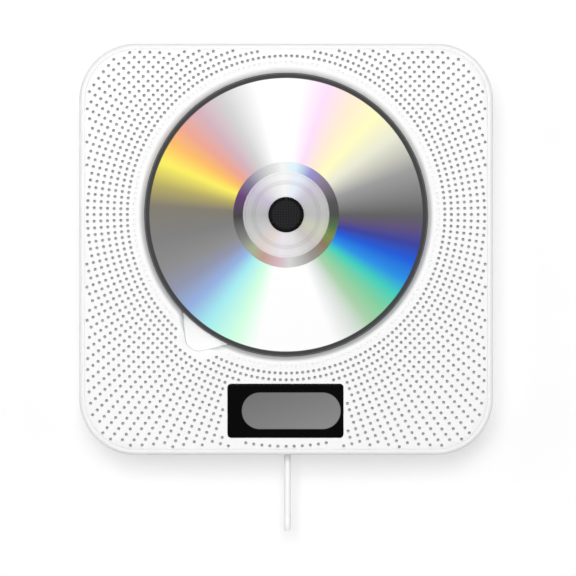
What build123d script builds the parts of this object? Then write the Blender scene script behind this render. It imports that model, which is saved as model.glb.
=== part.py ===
"""Wall mounted CD player: a flat square player that hangs on a wall bracket and plays the disc in the
open, in a round well in its perforated face.

Frame: the origin is the centre of the wall bracket's back face. +Y runs into the wall, the face looks
along -Y, +X is to the right of someone facing the player and +Z is up. "Depth" is the distance out from
the wall. Lengths are in millimetres.
"""

from build123d import *
from math import acos, cos, hypot, pi, radians, sin, sqrt, tan
import os

os.makedirs("parts", exist_ok=True)

# ---------------------------------------------------------------- driving dimensions: housing
body_width = 175.0
body_height = 174.0
body_corner = 24.0  # corner radius seen from the front
face_depth = 41.0  # front face, measured from the wall
back_gap = 1.0  # between the rear cover and the wall
split_depth = 18.0  # seam between rear cover and front housing
wall = 2.3
back_round = 2.2  # rounding of the rear edge
rim_round = 1.5  # rounding of the front edge
ledge_width = 2.6  # seat that carries the grille panel
ledge_thickness = 1.8
tongue_height = 2.0
tongue_thickness = 1.1
tongue_bond = 0.2  # how far the tongue's root runs into the wall
joint_gap = 0.15  # between mouldings that slip together

# ---------------------------------------------------------------- driving dimensions: disc and well
disc_radius = 60.0
disc_hole_radius = 7.5
disc_thickness = 1.2
disc_sink = 2.4  # from the face down to the disc
disc_drop = 72.4  # disc axis below the top of the body
disc_lift = 30.0  # travel that takes the disc clear of the face
well_gap = 0.6  # round the disc
lip_round = 2.0
panel_thickness = 2.2
notch_direction = 234.5  # degrees, anticlockwise from +X
notch_apex = 72.5  # distance of the notch's pointed corner from the disc axis, before rounding
notch_spread = 82.0  # angle between the notch's two sides
notch_round = 6.0
notch_blend = 3.0
notch_wall = 1.2
deck_gap = 1.4  # under the disc
deck_thickness = 1.8
deck_rim = 1.7
deck_overlap = 2.7  # how far the deck reaches under the panel's lip

# ---------------------------------------------------------------- driving dimensions: perforation
holes_per_ring = 180
first_ring = 67.1
ring_pitch = 2.81
ring_count = 24
hole_radius = 0.55
cloth_thickness = 0.5

# ---------------------------------------------------------------- driving dimensions: wall bracket
bracket_width = 84.0
bracket_height = 64.0
bracket_thickness = 3.0
bracket_corner = 7.0
bracket_rise = 18.0  # bracket above the middle of the body
screw_spacing_x = 60.0
screw_spacing_z = 44.0
wall_screw_radius = 2.25
countersink = 1.2
stud_x = 20.0
stud_z = 8.0
stud_neck_radius = 2.5
stud_head_radius = 4.5
stud_head_thickness = 2.0
stud_gap = 0.3
recess_floor = 3.5  # depth of the rear cover's outer face over the bracket
recess_gap = 1.0
hang_lift = 12.0  # how far the player is raised to unhook it

# ---------------------------------------------------------------- driving dimensions: display
lens_width = 49.1
lens_height = 22.8
lens_corner = 1.5
lens_rise = 18.3  # lens centre above the bottom of the body
lens_thickness = 1.6
lens_edge = 0.3  # rounding of its front edge
lens_recess = 0.1
lens_seat = 2.0
lens_frame = 1.4
lens_lip = 2.0  # ledge the lens rests on
display_shift = 0.4
display_gap = 0.2  # behind the lens
display_board_thickness = 1.2
display_width = 43.6
display_height = 17.6

# ---------------------------------------------------------------- driving dimensions: mechanism
shaft_radius = 1.0
running_gap = 0.05
turntable_radius = 14.8
turntable_thickness = 1.6
mat_thickness = 0.4
hub_radius = 7.3
hub_cap_radius = 6.2
hub_stand = 1.4  # hub's top in front of the disc
hub_cap_height = 0.6
ball_radius = 1.1
ball_count = 3
ball_stand = 0.1  # how far the balls stand out of the hub
hub_cap_chamfer = 0.25
mat_hole_radius = 8.9
mat_margin = 0.3
stack_ring_radius = 17.6
stack_ring_width = 0.8
stack_ring_height = 0.2
spindle_motor_radius = 11.5
spindle_motor_height = 9.0
grommet_foot = 2.2  # from the chassis plate to the deck
chassis_thickness = 2.5
lens_inner_x = 24.0  # objective lens at the disc's lead-in
sled_travel = 33.0
sled_back = 9.0  # from the lens axis towards the spindle
sled_front = 9.0
sled_half_height = 17.0
sled_height = 8.5
rod_radius = 1.5
rod_offset = 22.0
rod_sink = 3.5  # rods behind the back of the chassis plate
sled_sink = 2.0  # back of the sled behind the rods' axes
rod_sleeve = 3.0
gear_module = 0.6
rack_module = 0.8
feed_gear_teeth = 40
rack_gear_teeth = 12
pinion_teeth = 10
pressure_angle = 20.0
backlash = 0.12
pinion_direction = 150.0
feed_motor_radius = 7.5
grommet_radius = 4.2

# ---------------------------------------------------------------- driving dimensions: sound and boards
speaker_radius = 20.0
speaker_side = 25.5  # speaker axis from the side of the body
speaker_rise = 25.0  # speaker axis above the bottom of the body
magnet_radius = 10.5
magnet_height = 7.0
speaker_depth = 11.3  # flange front to magnet front
board_depth = 9.0
board_thickness = 1.6

# ---------------------------------------------------------------- driving dimensions: small fasteners
post_radius = 2.8  # posts that carry a circuit board
board_screw_radius = 1.2
screw_clearance = 0.2  # round a screw that passes through
pan_head_radius = 2.1
pan_head_height = 1.4

# ---------------------------------------------------------------- driving dimensions: buttons and cord
button_length = 11.0
button_width = 4.4
button_pitch = 20.0
button_depth = 28.0
button_gap = 0.3
button_travel = 0.6
button_names = ["previous", "volume_down", "play", "volume_up", "next"]
cord_radius = 1.7
cord_depth = 26.0
cord_length = 27.8
cord_tip_length = 6.0
cord_tip_radius = 2.0
plunger_radius = 1.95
plunger_head_radius = 3.3
plunger_gap = 0.25
pull_travel = 8.0

# ---------------------------------------------------------------- derived places
body_z = -bracket_rise
body_top = body_z + body_height / 2
body_bottom = body_z - body_height / 2
body_side = body_width / 2
disc_z = body_top - disc_drop
disc_front = face_depth - disc_sink
disc_back = disc_front - disc_thickness
deck_front = disc_back - deck_gap
deck_back = deck_front - deck_thickness
hub_top_depth = disc_front + hub_stand
chassis_front = deck_back - grommet_foot
chassis_depth = chassis_front - chassis_thickness
rod_depth = chassis_depth - rod_sink
sled_depth = rod_depth - sled_sink
panel_back = face_depth - panel_thickness
well_radius = disc_radius + well_gap
deck_radius = well_radius + deck_overlap
lens_z = body_bottom + lens_rise
lens_drop = disc_z - lens_z
speaker_x = body_side - speaker_side
speaker_z = body_bottom + speaker_rise
lens_front = face_depth - lens_recess
lens_back = lens_front - lens_thickness


def front_plane(depth, x=0.0, z=0.0):
    """A sketch plane parallel to the wall: local x is +X, local y is +Z, extrusions come off the wall."""
    return Plane(origin=(x, -depth, z), x_dir=(1, 0, 0), z_dir=(0, -1, 0))


def level_plane(z, x=0.0, depth=0.0):
    """A level sketch plane: local x is +X, local y points at the wall, extrusions go up."""
    return Plane(origin=(x, -depth, z), x_dir=(1, 0, 0), z_dir=(0, 0, 1))


def side_plane(x, depth=0.0, z=0.0):
    """A sketch plane across +X: local x is +Y, local y is +Z, extrusions go to the right."""
    return Plane(origin=(x, -depth, z), x_dir=(0, 1, 0), z_dir=(1, 0, 0))


def body_outline(inset, mode=Mode.ADD):
    """The body's rounded square, moved in by inset."""
    RectangleRounded(body_width - 2 * inset, body_height - 2 * inset, body_corner - inset, mode=mode)


def polar(radius, angle):
    return (radius * cos(radians(angle)), radius * sin(radians(angle)))


# ---------------------------------------------------------------- fastening places
# Housing screws stand in bosses that melt into the side walls: two in the upper corners, two in the floor.
boss_radius = 3.6
pilot_radius = 1.3
screw_radius = 1.25
screw_head_radius = 2.6
screw_head_height = 1.8
screw_reach = 9.0  # how far a screw bites into the front housing
corner_boss = (body_corner - wall - boss_radius + 0.6) / sqrt(2)
corner_x = body_side - body_corner + corner_boss
corner_z = body_height / 2 - body_corner + corner_boss
floor_boss_x = 34.0
floor_boss_z = -body_height / 2 + wall + boss_radius - 0.6
housing_screw_places = [
    (-corner_x, corner_z),
    (corner_x, corner_z),
    (-floor_boss_x, floor_boss_z),
    (floor_boss_x, floor_boss_z),
]
head_clearance = 0.4
head_seat = back_gap + 3.0  # screw heads sink this deep into the rear cover
rear_boss_wall = 1.4
rear_boss_radius = screw_head_radius + head_clearance + rear_boss_wall

deck_ear_ring = deck_radius + 2.7
deck_ear_radius = 3.2
deck_boss_radius = 2.4
deck_screw_places = [polar(deck_ear_ring, angle) for angle in (65, 135, 200, 300)]

# ---------------------------------------------------------------- wall bracket
neck_length = recess_floor + wall + stud_gap - bracket_thickness
with BuildPart() as wall_bracket:
    with BuildSketch(front_plane(0)):
        RectangleRounded(bracket_width, bracket_height, bracket_corner)
        with GridLocations(screw_spacing_x, screw_spacing_z, 2, 2):
            Circle(wall_screw_radius, mode=Mode.SUBTRACT)
    extrude(amount=bracket_thickness)
    front_edges = wall_bracket.faces().sort_by(Axis.Y)[0].edges().filter_by(GeomType.CIRCLE)
    chamfer(front_edges.filter_by(lambda e: e.radius < bracket_corner / 2), countersink)
    with BuildSketch(front_plane(bracket_thickness)):
        with Locations((-stud_x, stud_z), (stud_x, stud_z)):
            Circle(stud_neck_radius)
    extrude(amount=neck_length)
    with BuildSketch(front_plane(bracket_thickness + neck_length)):
        with Locations((-stud_x, stud_z), (stud_x, stud_z)):
            Circle(stud_head_radius)
    extrude(amount=stud_head_thickness)

# ---------------------------------------------------------------- rear cover
recess_width = bracket_width + 2 * recess_gap
recess_top = bracket_height / 2 + recess_gap
recess_bottom = -bracket_height / 2 - recess_gap - hang_lift
recess_middle = (recess_top + recess_bottom) / 2
recess_height = recess_top - recess_bottom
board_left = -46.0
board_right = body_side - wall - 0.7
board_height = 70.0
board_bottom = body_bottom + 27.0
board_top = board_bottom + board_height
board_inset = 4.5
board_pilot = 4.0  # length of the screw's hole in its post
board_screw_places = [
    (x, z)
    for x in (board_left + board_inset, board_right - board_inset)
    for z in (board_bottom + board_inset, board_top - board_inset)
]
socket_depth = board_depth + board_thickness + 3.6
jack_depth = board_depth + board_thickness + 2.9
inlet_z = body_z - 8.0
jack_z = body_z - 24.0
inlet_opening = 3.5
jack_opening = 3.2
jack_bore = 1.8
socket_width = 9.0
jack_width = 6.4
socket_gap = 0.3
tongue_notch = 3.0  # the tongue is cut away this deep beside the sockets
vent_count = 7
vent_pitch = 7.0
vent_length = 12.0
vent_width = 2.0
vent_drop = 14.0  # below the hollow for the bracket

tongue_inset = wall + joint_gap + tongue_thickness

with BuildPart() as rear_cover:
    with BuildSketch(front_plane(back_gap, z=body_z)):
        body_outline(0)
    extrude(amount=split_depth - back_gap)
    fillet(rear_cover.faces().sort_by(Axis.Y)[-1].edges(), back_round)
    with BuildSketch(front_plane(back_gap + wall, z=body_z)):
        body_outline(wall)
    extrude(amount=split_depth, mode=Mode.SUBTRACT)
    # tongue that slips into the front housing
    with BuildSketch(front_plane(split_depth - wall, z=body_z)):
        body_outline(wall + joint_gap)
        body_outline(tongue_inset, Mode.SUBTRACT)
    extrude(amount=wall + tongue_height)
    with BuildSketch(front_plane(split_depth - wall, z=body_z)):
        body_outline(wall - tongue_bond)
        body_outline(tongue_inset, Mode.SUBTRACT)
    extrude(amount=wall)
    # hollow that takes the wall bracket, closed on the inside
    with BuildSketch(front_plane(back_gap + wall / 2, z=recess_middle)):
        RectangleRounded(recess_width + 2 * wall, recess_height + 2 * wall, bracket_corner + wall)
    extrude(amount=recess_floor + wall - back_gap - wall / 2)
    # posts for the main board
    with BuildSketch(front_plane(back_gap + wall / 2)):
        with Locations(*board_screw_places):
            Circle(post_radius)
    extrude(amount=board_depth - back_gap - wall / 2)
    with BuildSketch(front_plane(board_depth)):
        with Locations(*board_screw_places):
            Circle(board_screw_radius + running_gap)
    extrude(amount=-board_pilot, mode=Mode.SUBTRACT)
    with BuildSketch(front_plane(back_gap, z=recess_middle)):
        RectangleRounded(recess_width, recess_height, bracket_corner)
    extrude(amount=recess_floor - back_gap, mode=Mode.SUBTRACT)
    # screw bosses
    with BuildSketch(front_plane(back_gap + wall, z=body_z)):
        with Locations(*housing_screw_places):
            Circle(rear_boss_radius)
    extrude(amount=split_depth - back_gap - wall)
    with BuildSketch(front_plane(back_gap, z=body_z)):
        with Locations(*housing_screw_places):
            Circle(screw_head_radius + head_clearance)
    extrude(amount=head_seat - back_gap, mode=Mode.SUBTRACT)
    with BuildSketch(front_plane(back_gap, z=body_z)):
        with Locations(*housing_screw_places):
            Circle(screw_radius + head_clearance)
    extrude(amount=split_depth, mode=Mode.SUBTRACT)
    # keyholes: a round entry below and a slot above that hangs on the stud's neck
    with BuildSketch(front_plane(recess_floor - 1.0)):
        with Locations((-stud_x, stud_z - hang_lift), (stud_x, stud_z - hang_lift)):
            Circle(stud_head_radius + 2 * stud_gap)
        with Locations((-stud_x, stud_z), (stud_x, stud_z)):
            Circle(stud_neck_radius + stud_gap)
        with Locations((-stud_x, stud_z - hang_lift / 2), (stud_x, stud_z - hang_lift / 2)):
            Rectangle(2 * (stud_neck_radius + stud_gap), hang_lift)
    extrude(amount=wall + 2.0, mode=Mode.SUBTRACT)
    # openings for the power inlet and the headphone jack, in the right side wall
    with BuildSketch(side_plane(body_side - 2 * wall, socket_depth, inlet_z)):
        Circle(inlet_opening)
    extrude(amount=3 * wall, mode=Mode.SUBTRACT)
    with BuildSketch(side_plane(body_side - 2 * wall, jack_depth, jack_z)):
        Circle(jack_opening)
    extrude(amount=3 * wall, mode=Mode.SUBTRACT)
    with BuildSketch(front_plane(board_depth + board_thickness)):
        with Locations((body_side - wall - tongue_notch / 2, inlet_z)):
            Rectangle(tongue_notch, socket_width + 2 * socket_gap)
        with Locations((body_side - wall - tongue_notch / 2, jack_z)):
            Rectangle(tongue_notch, jack_width + 2 * socket_gap)
    extrude(amount=split_depth, mode=Mode.SUBTRACT)
    # ventilation slots near the foot of the back
    with BuildSketch(front_plane(back_gap, z=recess_bottom - vent_drop)):
        with GridLocations(vent_pitch, 0, vent_count, 1):
            SlotOverall(vent_length, vent_width, rotation=90)
    extrude(amount=wall + 1.0, mode=Mode.SUBTRACT)

pad_radius = 5.0
pad_gap = 0.2  # between a pad and the wall
pad_x = body_side - 21.5
pad_top = body_height / 2 - 27.0
pad_bottom = -body_height / 2 + 21.0
with BuildPart() as rear_pads:
    with BuildSketch(front_plane(pad_gap, z=body_z)):
        with Locations((-pad_x, pad_bottom), (pad_x, pad_bottom), (-pad_x, pad_top), (pad_x, pad_top)):
            Circle(pad_radius)
    extrude(amount=back_gap - pad_gap)

with BuildPart() as housing_screws:
    with BuildSketch(front_plane(head_seat, z=body_z)):
        with Locations(*housing_screw_places):
            Circle(screw_head_radius)
    extrude(amount=-screw_head_height)
    with BuildSketch(front_plane(head_seat, z=body_z)):
        with Locations(*housing_screw_places):
            Circle(screw_radius)
    extrude(amount=split_depth + screw_reach - head_seat)

# ---------------------------------------------------------------- front housing
bushing_radius = 3.4
button_board_width = 8.0
button_board_thickness = 1.2
button_pilot = 5.0
button_board_drop = 8.9  # from the inside of the top wall
button_board_z = body_top - wall - button_board_drop
button_post_x = (len(button_names) + 0.2) * button_pitch / 2
button_places = [(i - (len(button_names) - 1) / 2) * button_pitch for i in range(len(button_names))]

with BuildPart() as front_housing:
    with BuildSketch(front_plane(split_depth, z=body_z)):
        body_outline(0)
    extrude(amount=face_depth - split_depth)
    fillet(front_housing.faces().sort_by(Axis.Y)[0].edges(), rim_round)
    with BuildSketch(front_plane(split_depth, z=body_z)):
        body_outline(wall)
    extrude(amount=panel_back - ledge_thickness - split_depth, mode=Mode.SUBTRACT)
    with BuildSketch(front_plane(split_depth, z=body_z)):
        body_outline(wall + ledge_width)
    extrude(amount=face_depth, mode=Mode.SUBTRACT)
    with BuildSketch(front_plane(panel_back, z=body_z)):
        body_outline(wall)
    extrude(amount=face_depth, mode=Mode.SUBTRACT)
    # screw bosses, cut back where the rear cover's tongue passes
    with BuildSketch(front_plane(split_depth, z=body_z)):
        with Locations(*housing_screw_places):
            Circle(boss_radius)
    extrude(amount=panel_back - ledge_thickness - split_depth)
    with BuildSketch(front_plane(split_depth, z=body_z)):
        body_outline(wall)
        body_outline(tongue_inset + joint_gap, Mode.SUBTRACT)
    extrude(amount=tongue_height + joint_gap, mode=Mode.SUBTRACT)
    with BuildSketch(front_plane(split_depth, z=body_z)):
        with Locations(*housing_screw_places):
            Circle(pilot_radius)
    extrude(amount=screw_reach + 2.0, mode=Mode.SUBTRACT)
    # posts that carry the button board from the top wall
    with BuildSketch(level_plane(button_board_z, depth=button_depth)):
        with Locations((-button_post_x, 0), (button_post_x, 0)):
            Circle(post_radius)
    extrude(amount=body_top - wall / 2 - button_board_z)
    with BuildSketch(level_plane(button_board_z, depth=button_depth)):
        with Locations((-button_post_x, 0), (button_post_x, 0)):
            Circle(board_screw_radius + running_gap)
    extrude(amount=button_pilot, mode=Mode.SUBTRACT)
    # button openings and the hole for the cord's bushing
    with BuildSketch(level_plane(body_top - 2 * wall, depth=button_depth)):
        with Locations(*[(x, 0) for x in button_places]):
            SlotOverall(button_length + 2 * button_gap, button_width + 2 * button_gap)
    extrude(amount=3 * wall, mode=Mode.SUBTRACT)
    with BuildSketch(level_plane(body_bottom - wall, depth=cord_depth)):
        Circle(bushing_radius + running_gap)
    extrude(amount=3 * wall, mode=Mode.SUBTRACT)

# ---------------------------------------------------------------- well opening with its finger notch
apex = polar(notch_apex, notch_direction)
notch_side = notch_apex / 2
notch_ends = [
    (
        apex[0] + polar(notch_side, notch_direction + 180 + turn)[0],
        apex[1] + polar(notch_side, notch_direction + 180 + turn)[1],
    )
    for turn in (-notch_spread / 2, notch_spread / 2)
]

with BuildSketch() as notch_lobe:
    with BuildLine():
        Polyline(apex, notch_ends[0], notch_ends[1], close=True)
    make_face()
    fillet(notch_lobe.vertices().sort_by_distance((0, 0))[-1], notch_round)

with BuildSketch() as well_opening:
    Circle(well_radius)
    add(notch_lobe.sketch)
    junctions = well_opening.vertices().filter_by(
        lambda v: abs(hypot(v.X, v.Y) - well_radius) < 0.01 and v.X < 0
    )
    fillet(junctions, notch_blend)

# the part of the opening beyond the deck's rim, where the finger goes in
with BuildSketch() as notch_mouth:
    add(well_opening.sketch)
    Circle(deck_radius - deck_rim, mode=Mode.SUBTRACT)

with BuildSketch() as notch_pocket:
    add(well_opening.sketch)
    offset(amount=notch_wall)
    Circle(well_radius + 0.3 + notch_wall, mode=Mode.SUBTRACT)
    add(notch_mouth.sketch)

# ---------------------------------------------------------------- grille panel
window_gap = 0.15


def perforation():
    """Hole centres round the disc axis: straight radial columns, ring after ring."""
    step = 360 / holes_per_ring
    return [
        polar(first_ring + ring * ring_pitch, column * step)
        for ring in range(ring_count)
        for column in range(holes_per_ring)
    ]


def over_speaker(place):
    """True where a hole lies wholly over a loudspeaker's cone."""
    reach = speaker_radius - 4.0
    return hypot(abs(place[0]) - speaker_x, place[1] + disc_z - speaker_z) < reach


sound_holes = [place for place in perforation() if over_speaker(place)]
display_post_height = 3.1
display_post_radius = 2.2
display_board_depth = panel_back - display_post_height
display_post_x = lens_width / 2 + lens_frame + display_post_radius + 0.4
pilot_floor = 0.5  # left at the bottom of a screw's hole

with BuildPart() as grille_panel:
    with BuildSketch(front_plane(panel_back, z=body_z)):
        body_outline(wall + joint_gap)
    extrude(amount=panel_thickness)
    with BuildSketch(front_plane(panel_back, z=disc_z)):
        add(well_opening.sketch)
    extrude(amount=panel_thickness, mode=Mode.SUBTRACT)
    lip = grille_panel.faces().sort_by(Axis.Y)[0].inner_wires()[0]
    fillet(lip.edges(), lip_round)
    # finger notch: walls and a floor level with the deck
    with BuildSketch(front_plane(deck_front - notch_wall, z=disc_z)):
        add(notch_pocket.sketch)
    extrude(amount=panel_back - deck_front + notch_wall)
    with BuildSketch(front_plane(deck_front, z=disc_z)):
        add(well_opening.sketch)
    extrude(amount=panel_back - deck_front, mode=Mode.SUBTRACT)
    # window with a frame that seats the display lens
    with BuildSketch(front_plane(lens_back - lens_seat, z=lens_z)):
        Rectangle(lens_width + 2 * lens_frame, lens_height + 2 * lens_frame)
    extrude(amount=panel_back - lens_back + lens_seat)
    with BuildSketch(front_plane(lens_back, z=lens_z)):
        RectangleRounded(lens_width + 2 * window_gap, lens_height + 2 * window_gap, lens_corner + window_gap)
    extrude(amount=face_depth - lens_back, mode=Mode.SUBTRACT)
    with BuildSketch(front_plane(lens_back - lens_seat, z=lens_z)):
        Rectangle(lens_width - 2 * lens_lip, lens_height - 2 * lens_lip)
    extrude(amount=lens_seat, mode=Mode.SUBTRACT)
    # posts for the deck and for the display board
    with BuildSketch(front_plane(deck_front, z=disc_z)):
        with Locations(*deck_screw_places):
            Circle(deck_boss_radius)
    extrude(amount=panel_back - deck_front)
    with BuildSketch(front_plane(display_board_depth, z=lens_z)):
        with Locations((-display_post_x, 0), (display_post_x, 0)):
            Circle(display_post_radius)
    extrude(amount=panel_back - display_board_depth)
    with BuildSketch(front_plane(deck_front, z=disc_z)):
        with Locations(*deck_screw_places):
            Circle(board_screw_radius + running_gap)
    extrude(amount=panel_back - deck_front - pilot_floor, mode=Mode.SUBTRACT)
    with BuildSketch(front_plane(display_board_depth, z=lens_z)):
        with Locations((-display_post_x, 0), (display_post_x, 0)):
            Circle(board_screw_radius + running_gap)
    extrude(amount=display_post_height - pilot_floor, mode=Mode.SUBTRACT)
    # the perforation is open where sound passes
    with BuildSketch(front_plane(panel_back, z=disc_z)):
        with Locations(*sound_holes):
            RegularPolygon(hole_radius, 6)
    extrude(amount=panel_thickness, mode=Mode.SUBTRACT)

# ---------------------------------------------------------------- acoustic cloth behind the panel
cloth_gap = 0.4
cloth_inner = deck_radius + cloth_gap
with BuildSketch() as cloth_notch:
    add(notch_lobe.sketch)
    offset(amount=notch_wall + 1.5 * cloth_gap)

with BuildPart() as grille_cloth:
    with BuildSketch(front_plane(panel_back, z=disc_z)):
        with Locations((0, body_z - disc_z)):
            body_outline(wall + ledge_width + 1.5 * cloth_gap)
        Circle(cloth_inner, mode=Mode.SUBTRACT)
        with Locations((0, -lens_drop)):
            cloth_window = 2 * (lens_frame + cloth_gap)
            Rectangle(lens_width + cloth_window, lens_height + cloth_window, mode=Mode.SUBTRACT)
        with Locations(*deck_screw_places):
            Circle(deck_boss_radius + cloth_gap, mode=Mode.SUBTRACT)
        with Locations((-display_post_x, -lens_drop), (display_post_x, -lens_drop)):
            Circle(display_post_radius + cloth_gap, mode=Mode.SUBTRACT)
        add(cloth_notch.sketch, mode=Mode.SUBTRACT)
    extrude(amount=-cloth_thickness)

# ---------------------------------------------------------------- display
with BuildPart() as display_lens:
    with BuildSketch(front_plane(lens_back, z=lens_z)):
        RectangleRounded(lens_width, lens_height, lens_corner)
    extrude(amount=lens_thickness)
    fillet(display_lens.faces().sort_by(Axis.Y)[0].edges(), lens_edge)

with BuildPart() as display_module:
    with BuildSketch(front_plane(display_board_depth, x=display_shift, z=lens_z)):
        Rectangle(display_width, display_height)
    extrude(amount=lens_back - display_gap - display_board_depth)

with BuildPart() as display_board:
    with BuildSketch(front_plane(display_board_depth, z=lens_z)):
        Rectangle(2 * (display_post_x + post_radius), display_height + 0.8)
        with Locations((-display_post_x, 0), (display_post_x, 0)):
            Circle(board_screw_radius + screw_clearance, mode=Mode.SUBTRACT)
    extrude(amount=-display_board_thickness)


def pan_screw(seat_depth, reach, places, z):
    """Small pan-head screws driven towards the face, one solid at each place."""
    with BuildPart() as screws:
        with BuildSketch(front_plane(seat_depth, z=z)):
            with Locations(*places):
                Circle(pan_head_radius)
        extrude(amount=-pan_head_height)
        with BuildSketch(front_plane(seat_depth, z=z)):
            with Locations(*places):
                Circle(board_screw_radius)
        extrude(amount=reach)
    return screws


display_screws = pan_screw(
    display_board_depth - display_board_thickness,
    display_board_thickness + display_post_height - pilot_floor - 0.3,
    [(-display_post_x, 0), (display_post_x, 0)],
    lens_z,
)

# ---------------------------------------------------------------- deck under the disc
side_gap = 2.2  # between the mechanism and the side wall
spindle_gap = 1.4
spindle_hole = turntable_radius + spindle_gap
slot_half = 5.5  # half width of the slot the lens looks through
slot_end = lens_inner_x + sled_travel
wing_right = body_side - wall - side_gap
wing_bottom = -38.0
wing_top = 52.0
wing_corner = 8.0
grommet_left = -19.0
grommet_right = wing_right - 6.5
grommet_low = -29.4
grommet_places = [
    (grommet_left, grommet_low),
    (grommet_left, -grommet_low),
    (grommet_right, grommet_low),
    (grommet_right, 42.0),
]
grommet_screw_radius = 1.5
deck_skin = 0.4  # left in front of a blind screw hole
notch_gap = 0.25

with BuildPart() as deck_plate:
    with BuildSketch(front_plane(deck_back, z=disc_z)):
        Circle(deck_radius)
        with Locations((wing_right / 2, (wing_top + wing_bottom) / 2)):
            RectangleRounded(wing_right, wing_top - wing_bottom, wing_corner)
        with Locations(*deck_screw_places):
            Circle(deck_ear_radius)
    extrude(amount=deck_thickness)
    with BuildSketch(front_plane(deck_front, z=disc_z)):
        Circle(deck_radius)
        Circle(deck_radius - deck_rim, mode=Mode.SUBTRACT)
    extrude(amount=panel_back - deck_front)
    with BuildSketch(front_plane(deck_back, z=disc_z)):
        Circle(spindle_hole)
        with Locations((slot_end / 2, 0)):
            SlotOverall(slot_end + 2 * slot_half, 2 * slot_half)
        with Locations(*deck_screw_places):
            Circle(board_screw_radius + screw_clearance)
    extrude(amount=deck_thickness, mode=Mode.SUBTRACT)
    with BuildSketch(front_plane(deck_back, z=disc_z)):
        with Locations(*grommet_places):
            Circle(grommet_screw_radius + running_gap)
    extrude(amount=deck_thickness - deck_skin, mode=Mode.SUBTRACT)
    # room for the panel's finger notch
    with BuildSketch(front_plane(deck_back, z=disc_z)):
        add(notch_pocket.sketch)
        offset(amount=notch_gap)
    extrude(amount=panel_back - deck_back, mode=Mode.SUBTRACT)

deck_screw_bite = 2.2
deck_screws = pan_screw(deck_back, deck_thickness + deck_screw_bite, deck_screw_places, disc_z)

# ---------------------------------------------------------------- mechanism chassis
chassis_left = -25.0
chassis_right = wing_right
chassis_bottom = -36.0
chassis_top = 50.0
chassis_corner = 6.0
rib_width = 1.5
rib_height = 3.0
motor_nose_radius = 3.2
motor_nose_hole = motor_nose_radius + 0.8
slip_gap = 0.1  # round pieces that are dropped into a hole
press_gap = 0.02  # round pieces that are pressed in
opening_left = lens_inner_x - sled_back - 2.0
opening_right = lens_inner_x + sled_travel + sled_front + 3.5
post_length = 4.0
post_relief = 0.8  # keeps the rods' posts clear of the rack
rack_base = 1.2
sled_edge = rod_offset + rod_sleeve
rack_pitch_z = sled_edge + rack_base + 1.25 * rack_module
rack_gear_pitch = rack_module * rack_gear_teeth / 2
feed_gear_pitch = gear_module * feed_gear_teeth / 2
pinion_pitch = gear_module * pinion_teeth / 2
feed_gear_x = 45.0
feed_gear_z = rack_pitch_z + rack_gear_pitch
pinion_offset = polar(feed_gear_pitch + pinion_pitch, pinion_direction)
pinion_x = feed_gear_x + pinion_offset[0]
pinion_z = feed_gear_z + pinion_offset[1]
axle_radius = 1.0
grommet_hole = 3.2

with BuildPart() as chassis:
    with BuildSketch(front_plane(chassis_depth, z=disc_z)):
        with Locations(((chassis_left + chassis_right) / 2, (chassis_top + chassis_bottom) / 2)):
            RectangleRounded(chassis_right - chassis_left, chassis_top - chassis_bottom, chassis_corner)
        with Locations(((opening_left + opening_right) / 2, 0)):
            Rectangle(opening_right - opening_left, 2 * sled_edge + 2.0, mode=Mode.SUBTRACT)
        Circle(motor_nose_hole, mode=Mode.SUBTRACT)
        with Locations((pinion_x, pinion_z)):
            Circle(feed_motor_radius + slip_gap, mode=Mode.SUBTRACT)
        with Locations(*grommet_places):
            Circle(grommet_hole, mode=Mode.SUBTRACT)
    extrude(amount=chassis_thickness)
    # posts that hold the ends of the guide rods
    with BuildSketch(front_plane(rod_depth - rod_sleeve, z=disc_z)):
        for post_x in (opening_left - post_length / 2, opening_right + post_length / 2):
            with Locations((post_x, rod_offset), (post_x, -rod_offset)):
                Rectangle(post_length, 2 * rod_sleeve - post_relief)
    extrude(amount=chassis_depth - rod_depth + rod_sleeve)
    for rod_z in (rod_offset, -rod_offset):
        with BuildSketch(side_plane(opening_left - post_length, rod_depth, disc_z + rod_z)):
            Circle(rod_radius + press_gap)
        extrude(amount=opening_right - opening_left + 2 * post_length, mode=Mode.SUBTRACT)
    # stiffening rib round the plate's edge
    with BuildSketch(front_plane(chassis_depth, z=disc_z)):
        with Locations(((chassis_left + chassis_right) / 2, (chassis_top + chassis_bottom) / 2)):
            RectangleRounded(chassis_right - chassis_left, chassis_top - chassis_bottom, chassis_corner)
            RectangleRounded(
                chassis_right - chassis_left - 2 * rib_width,
                chassis_top - chassis_bottom - 2 * rib_width,
                chassis_corner - rib_width,
                mode=Mode.SUBTRACT,
            )
    extrude(amount=-rib_height)
    # seat of the feed gear's axle
    with BuildSketch(front_plane(chassis_depth, x=feed_gear_x, z=disc_z + feed_gear_z)):
        Circle(axle_radius + press_gap)
    extrude(amount=chassis_thickness, mode=Mode.SUBTRACT)

with BuildPart() as guide_rods:
    for rod_z in (rod_offset, -rod_offset):
        with BuildSketch(side_plane(opening_left - post_length, rod_depth, disc_z + rod_z)):
            Circle(rod_radius)
        extrude(amount=opening_right - opening_left + 2 * post_length)

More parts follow.
